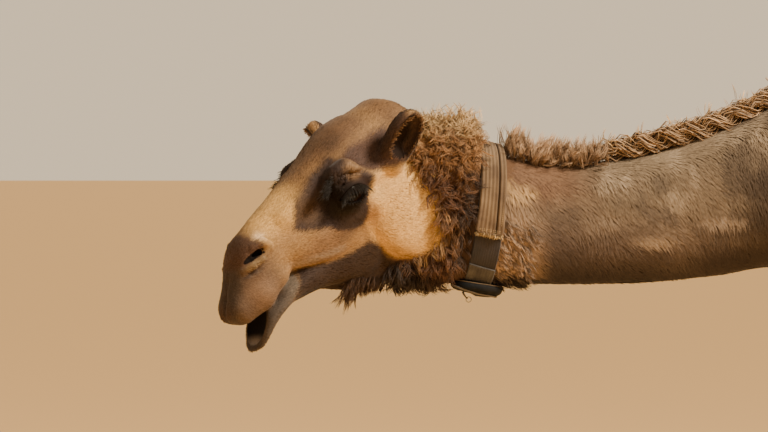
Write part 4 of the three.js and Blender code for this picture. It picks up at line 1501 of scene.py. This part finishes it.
ears_fringe = Coat("coat_ear_fringe", head_chart)
for name, _ in SIDES:
    axes, count = ear_axes(name), 260
    angle = hair_random.uniform(0, ROUND, count)
    rim = np.stack([0.010 + 0 * angle, 0.0255 * np.sin(angle), 0.0465 * np.cos(angle) + 0.002], axis=1)
    inward = unit(np.stack([0.5 + 0 * angle, -0.4 * np.sin(angle), 0.35 + 0 * angle], axis=1))
    start = from_head(rim @ axes + ear_middle(name))
    way = unit((inward + 0.3 * random_ways(count)) @ axes @ HEAD_AXES)
    curled(ears_fringe, start, way, flat_to(random_ways(count), way), 0.009, 0.0007, 0.001, 0.3, 5, 47,
           strands=3, colours=np.tile(linear("#644628"), (count, 1)))
ears_fringe.made(HAIR)

# ---- Eyes, lashes and toenails ----


def ball_mesh(rings, sectors):
    """Points and faces of a unit ball whose pole is +X."""
    theta = np.linspace(0, np.pi, rings + 1)[1:-1]
    phi = np.arange(sectors) / sectors * 2 * np.pi
    t, p = np.meshgrid(theta, phi, indexing="ij")
    middle = np.stack([np.cos(t), np.sin(t) * np.cos(p), np.sin(t) * np.sin(p)], axis=-1).reshape(-1, 3)
    points = np.concatenate([[[1, 0, 0]], middle, [[-1, 0, 0]]])
    faces = []
    for s in range(sectors):
        n = (s + 1) % sectors
        faces.append((0, 1 + s, 1 + n))
        for r in range(rings - 2):
            a, b = 1 + r * sectors + s, 1 + r * sectors + n
            faces += [(a, a + sectors, b), (b, a + sectors, b + sectors)]
        last = 1 + (rings - 2) * sectors
        faces.append((last + s, len(points) - 1, last + n))
    return points, np.array(faces)


def eye_finish():
    """Living eyeball under a film of tears: almost black, with one small, sharp highlight."""
    material, tree, shader = new_finish("wet_eyeball", Roughness=0.35, Specular_IOR_Level=0.05,
                                        Coat_Weight=0.12, Coat_Roughness=0.04)
    marks = add_node(tree, "ShaderNodeVertexColor", {"layer_name": "Markings_and_painted_shading"})
    tree.links.new(marks.outputs[0], shader.inputs["Base Color"])
    return material


def add_eyeball(name, side):
    """An eyeball with a bulging cornea, a brown iris and a level, oval pupil."""
    ball_points, ball_faces = ball_mesh(56, 72)
    gaze = unit(np.array([0.22, side * 0.97, -0.05]))
    along = unit(np.cross(gaze, [0, 0, 1.0]))
    gaze_axes = np.array([gaze, along, np.cross(gaze, along)])
    angle = np.arccos(np.clip(ball_points[:, 0], -1, 1))
    bulge = 1 + 0.035 * np.exp(-((angle / 0.42) ** 2))
    colour = np.tile(linear("#120b07"), (len(ball_points), 1))
    iris = smooth_fall(angle, 0.62, 0.56)[:, None]
    colour = colour * (1 - iris) + linear("#1c0f07") * iris
    slot = np.hypot(ball_points[:, 1] / 0.42, ball_points[:, 2] / 0.20)
    pupil = (smooth_fall(slot, 1.1, 0.9) * (ball_points[:, 0] > 0))[:, None]
    colour = colour * (1 - pupil) + linear("#030202") * pupil
    place = (ball_points * bulge[:, None] * EYE_RADIUS) @ gaze_axes + EYE_AT * [1, side, 1]
    eye = add_mesh("eyeball_" + name, from_head(place), ball_faces, EYE_FINISH)
    paint_mesh(eye, colour)
    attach(eye, "root")
    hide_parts("eye_" + name)


def add_lid_row(lashes, side, upper, count, long):
    """Lashes along the edge of the upper (1) or lower (-1) lid, each bent down by its own weight."""
    s = hair_random.uniform(-0.95, 0.95, count)
    flat = s * LID_LONG
    across = upper * (np.sqrt(LID_CURVE**2 - flat**2) - LID_CURVE + LID_HIGH + 0.0012)
    u = flat * np.cos(LID_TILT) - across * np.sin(LID_TILT)
    v = flat * np.sin(LID_TILT) + across * np.cos(LID_TILT)
    deep = np.sqrt(LID_RADIUS**2 - u**2 - v**2)
    start = from_head(np.stack([u, side * deep, v], axis=1) + EYE_AT * [1, side, 1])
    way = np.stack([0.35 + 0.5 * s, side * 0.9 + 0 * s, -0.25 * upper + 0.1 * s], axis=1)
    way = unit(way + 0.18 * random_ways(count)) @ HEAD_AXES
    down = np.array([0, 0, -1.0])
    t = np.linspace(0, 1, 6)[None, :, None]
    size = (long * hair_random.uniform(0.7, 1.2, count))[:, None, None]
    path = start[:, None] + way[:, None] * size * t + down * size * 0.30 * t**2
    wide = np.full((count, 6), 0.0009) * (1.2 - t[..., 0])
    tint = np.tile(linear("#1a110b"), (count, 1))
    lashes.add_strands(path, wide, flat_to(random_ways(count), way), start, tint, 1, 1)


def add_brow_hairs(lashes, side):
    """Long, thin hairs that stand forward out of the brow."""
    count = 240
    along = hair_random.uniform(0, 1, count)
    ridge = np.array([(24, 70, 13), (10, 73, 25), (-9, 73, 32), (-27, 74, 31)]) * MM
    places = [np.interp(along * 3, np.arange(4), ridge[:, i]) for i in range(3)]
    start = np.stack(places, axis=1) * [1, side, 1]
    start += hair_random.normal(0, 0.0022, start.shape)
    way = unit(np.array([0.80, side * 0.45, 0.42]) + 0.22 * random_ways(count))
    start, way = from_head(start), way @ HEAD_AXES
    curled(lashes, start, way, flat_to(random_ways(count), way), 0.026 - 0.012 * along, 0.0007, 0.0015, 0.3,
           5, 48, strands=2, droop=0.25, colours=np.tile(linear("#2a1c12"), (count, 1)))


EYE_FINISH = eye_finish()
for name, side in SIDES:
    add_eyeball(name, side)
    lashes = Coat("eyelashes_" + name, head_chart, "dark_coat")
    add_lid_row(lashes, side, 1, 230, 0.025)
    add_lid_row(lashes, side, -1, 110, 0.012)
    add_brow_hairs(lashes, side)
    lashes.made(LASH)


def horn_finish():
    """Toenail horn, worn smooth by sand, in growth bands 3.5 mm apart: a low gloss along its ridges."""
    material, tree, shader = new_finish("toenail_horn", Roughness=0.42)
    place = add_node(tree, "ShaderNodeTexCoord")
    bands = add_node(tree, "ShaderNodeTexWave", {"bands_direction": "X"}, Vector=place.outputs["Object"],
                     Scale=314 / 3.5, Distortion=2.0, Detail=2.0)
    horn = add_mix(tree, bands.outputs["Fac"], "#2e241c", "#5c4a38")
    tree.links.new(horn, shader.inputs["Base Color"])
    return material


def nail_mesh():
    """A toenail about its middle, in millimetres: bent down and narrower towards its tip."""
    points, faces = ball_mesh(20, 28)
    long = 17
    form = points * [long, 13, 15]
    form[:, 0] = np.where(form[:, 0] < 0, form[:, 0] * 1.05, form[:, 0])
    form[:, 2] -= 0.012 * np.minimum(form[:, 0], 0) ** 2
    form[:, 2] = np.maximum(form[:, 2], -19 - 0.2 * form[:, 0] / long)
    form[:, 1] *= 1 - 0.012 * np.clip(-form[:, 0], 0, long)
    return form, faces


NAIL_FINISH = horn_finish()
nail_points, nail_faces = nail_mesh()
for leg_name, rows, side, shift in LEGS:
    _, pad_at, pad_side, pad_long, _ = rows[-2]
    end = leg_name.replace("leg", "foot")
    for number, toe in enumerate((-1, 1)):
        at = np.array([pad_at + shift / MM - pad_long + 4, side * pad_side + toe * 27, 22.0])
        nail = add_mesh(f"nail_{end}_{number + 1}", (nail_points + at) * MM, nail_faces, NAIL_FINISH)
        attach(nail, "root")
        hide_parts(f"{end}_nail_{number + 1}")


# ---- The collar ----
NECK = lengthwise(BODY, 0.0, 0.05)


def on_collar(along, angle, height):
    """A place on the collar: across its width, round the neck from its top to its left, off the coat."""
    along, angle, height = np.broadcast_arrays(along, angle, height)
    out = np.cos(angle)[..., None] * COLLAR_AXES[2] - np.sin(angle)[..., None] * COLLAR_AXES[1]
    start = (COLLAR_AT + along[..., None] * COLLAR_AXES[0]).reshape(-1, 3)
    out = out.reshape(-1, 3)
    near_end, far_end = np.full(len(out), 0.02), np.full(len(out), 0.25)
    for _ in range(22):
        middle = (near_end + far_end) / 2
        beyond = NECK.distance(start + out * middle[:, None]) > height.reshape(-1)
        far_end, near_end = np.where(beyond, middle, far_end), np.where(beyond, near_end, middle)
    return (start + out * near_end[:, None]).reshape(along.shape + (3,))


def strap_section(low, high, ribs, groove, relief):
    """A strap's outline: how far across it each point is, from -1 to 1, and how far off the coat."""
    across = np.linspace(-1, 1, 57)
    raised = 0.0006 * relief * np.cos(across * np.pi * ribs)
    raised = raised - 0.0028 * np.exp(-(((across - groove) / 0.05) ** 2)) if groove else raised
    edge = 1 - np.clip((np.abs(across) - 0.93) / 0.07, 0, 1) ** 2
    outer = low + (high - low) * (0.35 + 0.65 * edge) + raised * edge
    inner = low + (high - low) * 0.35 * (1 - edge)
    return np.concatenate([across, across[::-1]]), np.concatenate([outer, inner[::-1]])


def rounded_end(angles, length):
    """The share of its width that a strap keeps along it, with its last `length` radians rounded off."""
    left = (angles[-1] - angles) / length
    share = np.sqrt(np.clip(1 - np.clip(1 - left, 0, 1) ** 3, 0.0, 1)) * 0.35 + 0.65
    share[-1] = 0.5
    return share


def store_place_and_groove_shade(obj, across, angles, ribs, groove, relief):
    """Stores where each point is on the strap, and how much painted shade darkens its grooves, for the
    material to read.
    """
    # Painted shade in the groove and between the ribs.
    dark = 1.1 * np.exp(-(((across - groove) / 0.07) ** 2)) if groove else 0 * across
    dark = dark + 0.3 * relief * (0.5 - 0.5 * np.cos(across * np.pi * ribs)) ** 2
    values = [across * 0.5 + 0.5, (angles + np.pi) / (2 * np.pi), dark, 1 + 0 * angles]
    layer = obj.data.color_attributes.new("Place_and_groove_shade", "FLOAT_COLOR", "POINT")
    layer.data.foreach_set("color", np.stack(values, 1).astype(np.float32).ravel())


def webbing(name, angles, half_wide, low, high, ribs, groove, material, closed=False, ends=0.0, relief=1.0):
    """A flat woven strap on the collar's path, with lengthwise ribs on its outer face."""
    wide, deep = strap_section(low, high, ribs, groove, relief)
    count, ring = len(angles), len(wide)
    half = np.broadcast_to(half_wide, count) * (rounded_end(angles, ends) if ends else np.ones(count))
    points = on_collar(wide[None] * half[:, None], angles[:, None], deep[None]).reshape(-1, 3)
    faces = []
    for i in range(count if closed else count - 1):
        a, b = i * ring, (i + 1) % count * ring
        for j in range(ring):
            k = (j + 1) % ring
            faces += [(a + j, b + j, b + k), (a + j, b + k, a + k)]
    across_of, angle_of = np.tile(wide, count), np.repeat(angles, ring)
    if not closed:
        for row, turn in ((0, 1), (count - 1, -1)):
            middle = len(points)
            points = np.concatenate([points, points[row * ring : (row + 1) * ring].mean(axis=0)[None]])
            for j in range(ring):
                pair = (row * ring + j, row * ring + (j + 1) % ring)
                faces.append((middle, *pair[::turn]))
        across_of, angle_of = np.append(across_of, [0, 0]), np.append(angle_of, [angles[0], angles[-1]])
    obj = add_mesh(name, points, np.array(faces), material)
    store_place_and_groove_shade(obj, across_of, angle_of, ribs, groove, relief)
    return obj


def webbing_finish(name, pale, dark, dirt):
    """Woven webbing, warp yarns 1.8 mm and weft yarns 2.2 mm apart, with grime in blotches 26 mm across and
    painted shade in its grooves.
    """
    warp_yarns, weft_yarns = 26, 330
    material, tree, shader = new_finish(name, Roughness=0.88, Specular_IOR_Level=0.25, Sheen_Weight=0.05)
    wear = add_node(tree, "ShaderNodeVertexColor", {"layer_name": "Place_and_groove_shade"})
    split = add_node(tree, "ShaderNodeSeparateColor", Color=wear.outputs[0])
    warp = add_math(tree, "SINE", add_math(tree, "MULTIPLY", split.outputs[0], 2 * np.pi * warp_yarns))
    weft = add_math(tree, "SINE", add_math(tree, "MULTIPLY", split.outputs[1], 2 * np.pi * weft_yarns))
    both = add_math(tree, "ADD", warp, weft)
    _, grime = add_blotches(tree, 26, 6.0, 0.36, 0.66)
    thread = add_node(tree, "ShaderNodeMapRange", Value=both, From_Min=-2.0, From_Max=0.4)
    woven = add_mix(tree, thread.outputs[0], dark, add_mix(tree, grime, dirt, pale))
    # Painted shade in the grooves: the weave is darkened towards its dark yarn colour.
    tree.links.new(add_mix(tree, split.outputs[2], woven, dark), shader.inputs["Base Color"])
    add_bump(tree, shader, both, 0.6, 0.0006)
    return material


def cloth_finish():
    """Black nylon cloth in a plain weave of 1 mm yarns: matt, with dust in patches 17 mm across."""
    yarns = 1000  # to a metre
    material, tree, shader = new_finish("black_woven_nylon", Roughness=0.8, Specular_IOR_Level=0.15)
    place = add_node(tree, "ShaderNodeTexCoord")
    split = add_node(tree, "ShaderNodeSeparateXYZ", Vector=place.outputs["Object"])
    warp = add_math(tree, "SINE", add_math(tree, "MULTIPLY", split.outputs[0], 2 * np.pi * yarns))
    weft = add_math(tree, "SINE", add_math(tree, "MULTIPLY", split.outputs[2], 2 * np.pi * yarns))
    _, dust = add_blotches(tree, 17, 5.0, 0.48, 0.80)
    tree.links.new(add_mix(tree, dust, "#07090b", "#1c1a18"), shader.inputs["Base Color"])
    add_bump(tree, shader, add_math(tree, "MULTIPLY", warp, weft), 0.35, 0.0004)
    return material


def tube(path, radius, sides=10, closed=False):
    """Points and faces of a round cord along a path."""
    path = np.asarray(path, float)
    count = len(path)
    ahead, behind = np.roll(path, -1, axis=0), np.roll(path, 1, axis=0)
    if not closed:
        ahead[-1], behind[0] = path[-1], path[0]
    tangent = unit(ahead - behind)
    first = flat_to(np.tile([0.3, 0.2, 0.93], (count, 1)), tangent)
    second = np.cross(tangent, first)
    angle = np.arange(sides) / sides * 2 * np.pi
    ring = np.cos(angle)[None, :, None] * first[:, None] + np.sin(angle)[None, :, None] * second[:, None]
    points = (path[:, None] + ring * np.broadcast_to(radius, count)[:, None, None]).reshape(-1, 3)
    faces = []
    for i in range(count if closed else count - 1):
        a, b = i * sides, (i + 1) % count * sides
        for j in range(sides):
            k = (j + 1) % sides
            faces += [(a + j, a + k, b + k), (a + j, b + k, b + j)]
    if not closed:
        points = np.concatenate([points, path[[0, -1]]])
        last = (count - 1) * sides
        for j in range(sides):
            k = (j + 1) % sides
            faces += [(len(points) - 2, k, j), (len(points) - 1, last + j, last + k)]
    return points, np.array(faces)


def placing_tree(name, item, material):
    """Geometry Nodes that set a small piece at even steps along a path, and their inputs by name."""
    tree = bpy.data.node_groups.new(name, "GeometryNodeTree")
    kinds = {"Path": "NodeSocketGeometry", "Spacing": "NodeSocketFloat", "Piece size": "NodeSocketVector"}
    sockets = {}
    for label, kind in kinds.items():
        sockets[label] = tree.interface.new_socket(label, in_out="INPUT", socket_type=kind)
    tree.interface.new_socket("Pieces", in_out="OUTPUT", socket_type="NodeSocketGeometry")
    given = add_node(tree, "NodeGroupInput")
    curve = add_node(tree, "GeometryNodeMeshToCurve", Mesh=given.outputs["Path"])
    evenly = add_node(tree, "GeometryNodeResampleCurve", {"mode": "LENGTH"}, Curve=curve.outputs[0],
                      Length=given.outputs["Spacing"])
    forward = add_node(tree, "GeometryNodeInputTangent")
    up = add_node(tree, "GeometryNodeInputNamedAttribute", {"data_type": "FLOAT_VECTOR"}, Name="Outward")
    turned = add_node(tree, "FunctionNodeAlignRotationToVector", {"axis": "X"}, Vector=forward.outputs[0])
    upright_too = add_node(tree, "FunctionNodeAlignRotationToVector", {"axis": "Z", "pivot_axis": "X"},
                           Rotation=turned.outputs[0], Vector=up.outputs[0])
    piece = add_node(tree, item)
    if item == "GeometryNodeMeshUVSphere":
        for label, value in (("Segments", 8), ("Rings", 5), ("Radius", 0.5)):
            piece.inputs[label].default_value = value
    placed = add_node(tree, "GeometryNodeInstanceOnPoints", Points=evenly.outputs[0],
                      Instance=piece.outputs[0], Rotation=upright_too.outputs[0],
                      Scale=given.outputs["Piece size"])
    real = add_node(tree, "GeometryNodeRealizeInstances", _0=placed.outputs[0])
    dressed = add_node(tree, "GeometryNodeSetMaterial", Geometry=real.outputs[0], Material=material)
    add_node(tree, "NodeGroupOutput", _0=dressed.outputs[0])
    return tree, sockets


def repeated_along(name, path, outward, spacing, size, item, material, smooth):
    """Small pieces set along a path by Geometry Nodes, each turned to the path and to the surface below."""
    mesh = bpy.data.meshes.new(name)
    mesh.from_pydata([tuple(p) for p in path], [(i, i + 1) for i in range(len(path) - 1)], [])
    directions = mesh.attributes.new("Outward", "FLOAT_VECTOR", "POINT")
    directions.data.foreach_set("vector", outward.astype(np.float32).ravel())
    obj = bpy.data.objects.new(name, mesh)
    bpy.context.scene.collection.objects.link(obj)
    modifier = obj.modifiers.new(name, "NODES")
    modifier.node_group, sockets = placing_tree(name, item, material)
    modifier[sockets["Spacing"].identifier] = spacing
    modifier[sockets["Piece size"].identifier] = size
    view = bpy.context.evaluated_depsgraph_get()
    made = bpy.data.meshes.new_from_object(obj.evaluated_get(view), depsgraph=view)
    obj.modifiers.clear()
    obj.data = made
    made.polygons.foreach_set("use_smooth", np.full(len(made.polygons), smooth))
    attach(obj, "root")
    return obj


# Polyester webbing, woven with raised lengthwise ribs; dust and grease dull it, and painted shade darkens its
# grooves.
STRAP = webbing_finish("dusty_ribbed_webbing", "#806a50", "#433322", "#5c4a38")
# Elastic webbing, dyed brown and grimy, with finer ribs that barely catch the light.
BROWN_STRAP = webbing_finish("grimy_brown_elastic_webbing", "#352f2d", "#1b1715", "#292523")
# The same ribbed webbing, more worn and greyer.
WORN_STRAP = webbing_finish("worn_grey_webbing", "#57544f", "#292626", "#3e3a37")
BLACK_CLOTH = cloth_finish()
# Cotton piping, sun-bleached and dusty: dry, without gloss.
PIPING, _, _ = new_finish("bleached_cotton_piping", Base_Color=rgba("#5a4b39"), Roughness=0.9,
                          Specular_IOR_Level=0.2)
# Moulded nylon zip teeth, rubbed shiny at their tips.
TEETH, _, _ = new_finish("nylon_zip_teeth", Base_Color=rgba("#5f5850"), Roughness=0.45)
# Plated steel wire, scratched to a soft gleam.
STEEL, _, _ = new_finish("worn_plated_steel", Base_Color=rgba("#8d867a"), Metallic=1.0, Roughness=0.38)
# Zinc slider under black paint, chipped dull by the ring.
PULL, _, _ = new_finish("black_painted_zinc", Base_Color=rgba("#1b1714"), Roughness=0.5)
# Undyed polyester sewing thread.
THREAD, _, _ = new_finish("polyester_sewing_thread", Base_Color=rgba("#a8926c"), Roughness=0.7)

# Each strap: its way round the neck in radians, half its width, its inner and outer face off the coat,
# its ribs and the groove along it.
band_angles = np.linspace(0, 2 * np.pi, 180, endpoint=False)
band = webbing("collar_webbing", band_angles, 0.0235, 0.0004, 0.0040, 11, 0, BROWN_STRAP, True, relief=0.2)
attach(band, "root")
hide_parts("collar_band")

STRAP_TOP = 0.0086  # the outer face of the strap's loose end
strap_angles = np.linspace(0.02, 1.93, 130)
strap_half = 0.0225 + 0.0025 * smooth_step(strap_angles, 1.2, 1.9)
strap = webbing("collar_strap", strap_angles, strap_half, 0.0044, STRAP_TOP, 7, 0.42, STRAP, ends=0.10)
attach(strap, "root")
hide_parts("collar_strap_end")

keeper_angles = np.linspace(2.58, 2.90, 40)
keeper = webbing("collar_keeper", keeper_angles, 0.0235, 0.0044, 0.0066, 9, 0, WORN_STRAP, relief=0.4)
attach(keeper, "root")

frays = Coat("collar_frayed_end", body_chart, "webbing")
count = 130
across = hair_random.uniform(-0.021, 0.021, count)
start = on_collar(across, 1.91 + 0 * across, 0.0065 + 0 * across)
end = on_collar(across * 1.05, 1.98 + 0 * across, 0.006 + 0 * across)
way = unit(unit(end - start) + 0.45 * random_ways(count))
curled(frays, start, way, flat_to(random_ways(count), way), 0.0085, 0.0009, 0.001, 0.5, 6, 51, strands=2,
       colours=np.tile(linear("#a08a66"), (count, 1)))
frays.made(HAIR)


def stitch_row(name, along, angles):
    """A row of stitches on the strap."""
    spacing, size = 0.0036, (0.0027, 0.0008, 0.0008)
    line = on_collar(along, angles, STRAP_TOP + 0 * angles)
    outward = unit(on_collar(along, angles, 0.012 + 0 * angles) - line)
    row = repeated_along(name, line, outward, spacing, size, "GeometryNodeMeshUVSphere", THREAD, True)


end_line = np.linspace(-0.017, 0.017, 40)
stitch_row("collar_end_stitches_1", end_line, 1.84 + 0 * end_line)
stitch_row("collar_end_stitches_2", end_line, 1.87 + 0 * end_line)
stitch_row("collar_edge_stitches", 0.0185 + 0 * strap_angles[2:-14], strap_angles[2:-14])

# The zipped pouch under the neck, in the collar's directions
POUCH_AT, POUCH_HALF = np.array([-0.9965, -0.0074, 1.1575]), np.array([0.0455, 0.0415, 0.0158])


def eased(value, power):
    """A sine or cosine bent towards a squarer turn, with its sign kept."""
    return np.sign(value) * np.abs(value) ** power


def on_pouch(around_it, up_it, off=0.0):
    """A place on the pouch: round it from its rear end, and up from its seam."""
    around_it, up_it = np.broadcast_arrays(around_it, up_it)
    back, side, rise = np.cos(around_it), np.sin(around_it), np.sin(up_it)
    wide = np.abs(np.cos(up_it)) ** 0.55
    high = np.where(rise > 0, 0.68 - 0.22 * back, 0.85 + 0.2 * back)
    place = np.stack([eased(back, 0.8) * wide, eased(side, 0.8) * wide, eased(rise, 0.9) * high], axis=-1)
    return POUCH_AT + (place * (POUCH_HALF + off)) @ COLLAR_AXES


def pouch_mesh():
    """The pouch's points and faces: rings of points from its top to its bottom, and a point at each."""
    rows, columns = 30, 72
    round_it = np.arange(columns) / columns * 2 * np.pi
    levels = np.linspace(np.pi / 2, -np.pi / 2, rows + 2)[1:-1]
    points = on_pouch(round_it[None], levels[:, None])
    points += 0.0004 * ripple(points.reshape(-1, 3), 0.02, 61).reshape(rows, columns, 1)
    poles = [on_pouch(0.0, np.pi / 2), on_pouch(0.0, -np.pi / 2)]
    points = np.concatenate([points.reshape(-1, 3), poles])
    last = (rows - 1) * columns
    faces = []
    for j in range(columns):
        k = (j + 1) % columns
        faces.append((len(points) - 2, j, k))
        for i in range(rows - 1):
            a, b = i * columns, (i + 1) * columns
            faces += [(a + j, b + j, b + k), (a + j, b + k, a + k)]
        faces.append((last + j, len(points) - 1, last + k))
    return points, np.array(faces)


pouch = add_mesh("collar_pouch_cloth", *pouch_mesh(), BLACK_CLOTH)
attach(pouch, "root")
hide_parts("collar_pouch")

rim = np.linspace(0, 2 * np.pi, 120, endpoint=False)
piping = add_mesh("collar_pouch_piping", *tube(on_pouch(rim, 0.62, 0.0002), 0.0009, 8, True), PIPING)

# The zip runs from the front of the pouch round its left side to its rear, on a tape of its own.
zip_turn = np.linspace(-0.97 * np.pi, -0.04 * np.pi, 90)
zip_up = -0.10 - 0.80 * smooth_step(zip_turn, -0.95 * np.pi, -0.45 * np.pi)
zip_line = on_pouch(zip_turn, zip_up, 0.0006)
zip_out = unit(on_pouch(zip_turn, zip_up, 0.003) - zip_line)
tape = add_mesh("collar_zip_tape", *tube(zip_line - zip_out * 0.0012, 0.0024, 8), BLACK_CLOTH)
teeth = repeated_along("collar_zip_teeth", zip_line + zip_out * 0.0012, zip_out, 0.0019,
                       (0.0011, 0.0030, 0.0010), "GeometryNodeMeshCube", TEETH, False)

pull_path = [(-1.0215, -0.0400, 1.1505), (-1.0200, -0.0400, 1.1460), (-1.0160, -0.0360, 1.1405),
             (-1.0135, -0.0320, 1.1385)]
puller = add_mesh("collar_zip_pull", *tube(pull_path, [0.0022, 0.0018, 0.0013, 0.0014], 8), PULL)
turn = np.linspace(0, 2 * np.pi, 48, endpoint=False)
circle = np.stack([np.cos(turn), 0 * turn, np.sin(turn)], axis=1)
ring_path = np.array([-1.0110, -0.0300, 1.1360]) + 0.0046 * circle
ring = add_mesh("collar_pull_ring", *tube(ring_path, 0.0007, 8, True), STEEL)
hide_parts("collar_ring")
for piece in (piping, tape, puller, ring):
    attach(piece, "root")

# ---- Studio ----
camera = bpy.data.objects.new("camera", bpy.data.cameras.new("camera"))
bpy.context.scene.collection.objects.link(camera)
camera.location = (-1.160, -5.000, 1.350)
camera.rotation_euler = (np.radians(90 - 0.77), 0, 0)
camera.data.lens = 132.4
camera.data.clip_end = 4000
bpy.context.scene.camera = camera

bpy.ops.mesh.primitive_plane_add(size=3000)
floor = bpy.context.object
floor.name = "floor"
floor.data.materials.append(new_finish("pale_floor", Base_Color=rgba("#f8cf92"), Roughness=0.95)[0])
world = bpy.data.worlds.new("world")
world.use_nodes = True
world.node_tree.nodes["Background"].inputs["Color"].default_value = rgba("#ffe5c0")
world.node_tree.nodes["Background"].inputs["Strength"].default_value = 0.95
bpy.context.scene.world = world


def add_light(name, at, towards, size, power, code):
    light = bpy.data.objects.new(name, bpy.data.lights.new(name, "AREA"))
    light.data.size, light.data.energy, light.data.color = size, power, linear(code)
    light.location = at
    light.rotation_euler = (Vector(towards) - Vector(at)).to_track_quat("-Z", "Y").to_euler()
    bpy.context.scene.collection.objects.link(light)


add_light("key", (2.2, -1.9, 4.6), (-1.0, 0, 1.2), 1.2, 800, "#fff0da")
add_light("fill", (-4, -4, 2.5), (-1, 0, 1.2), 3.0, 15, "#fff6ea")
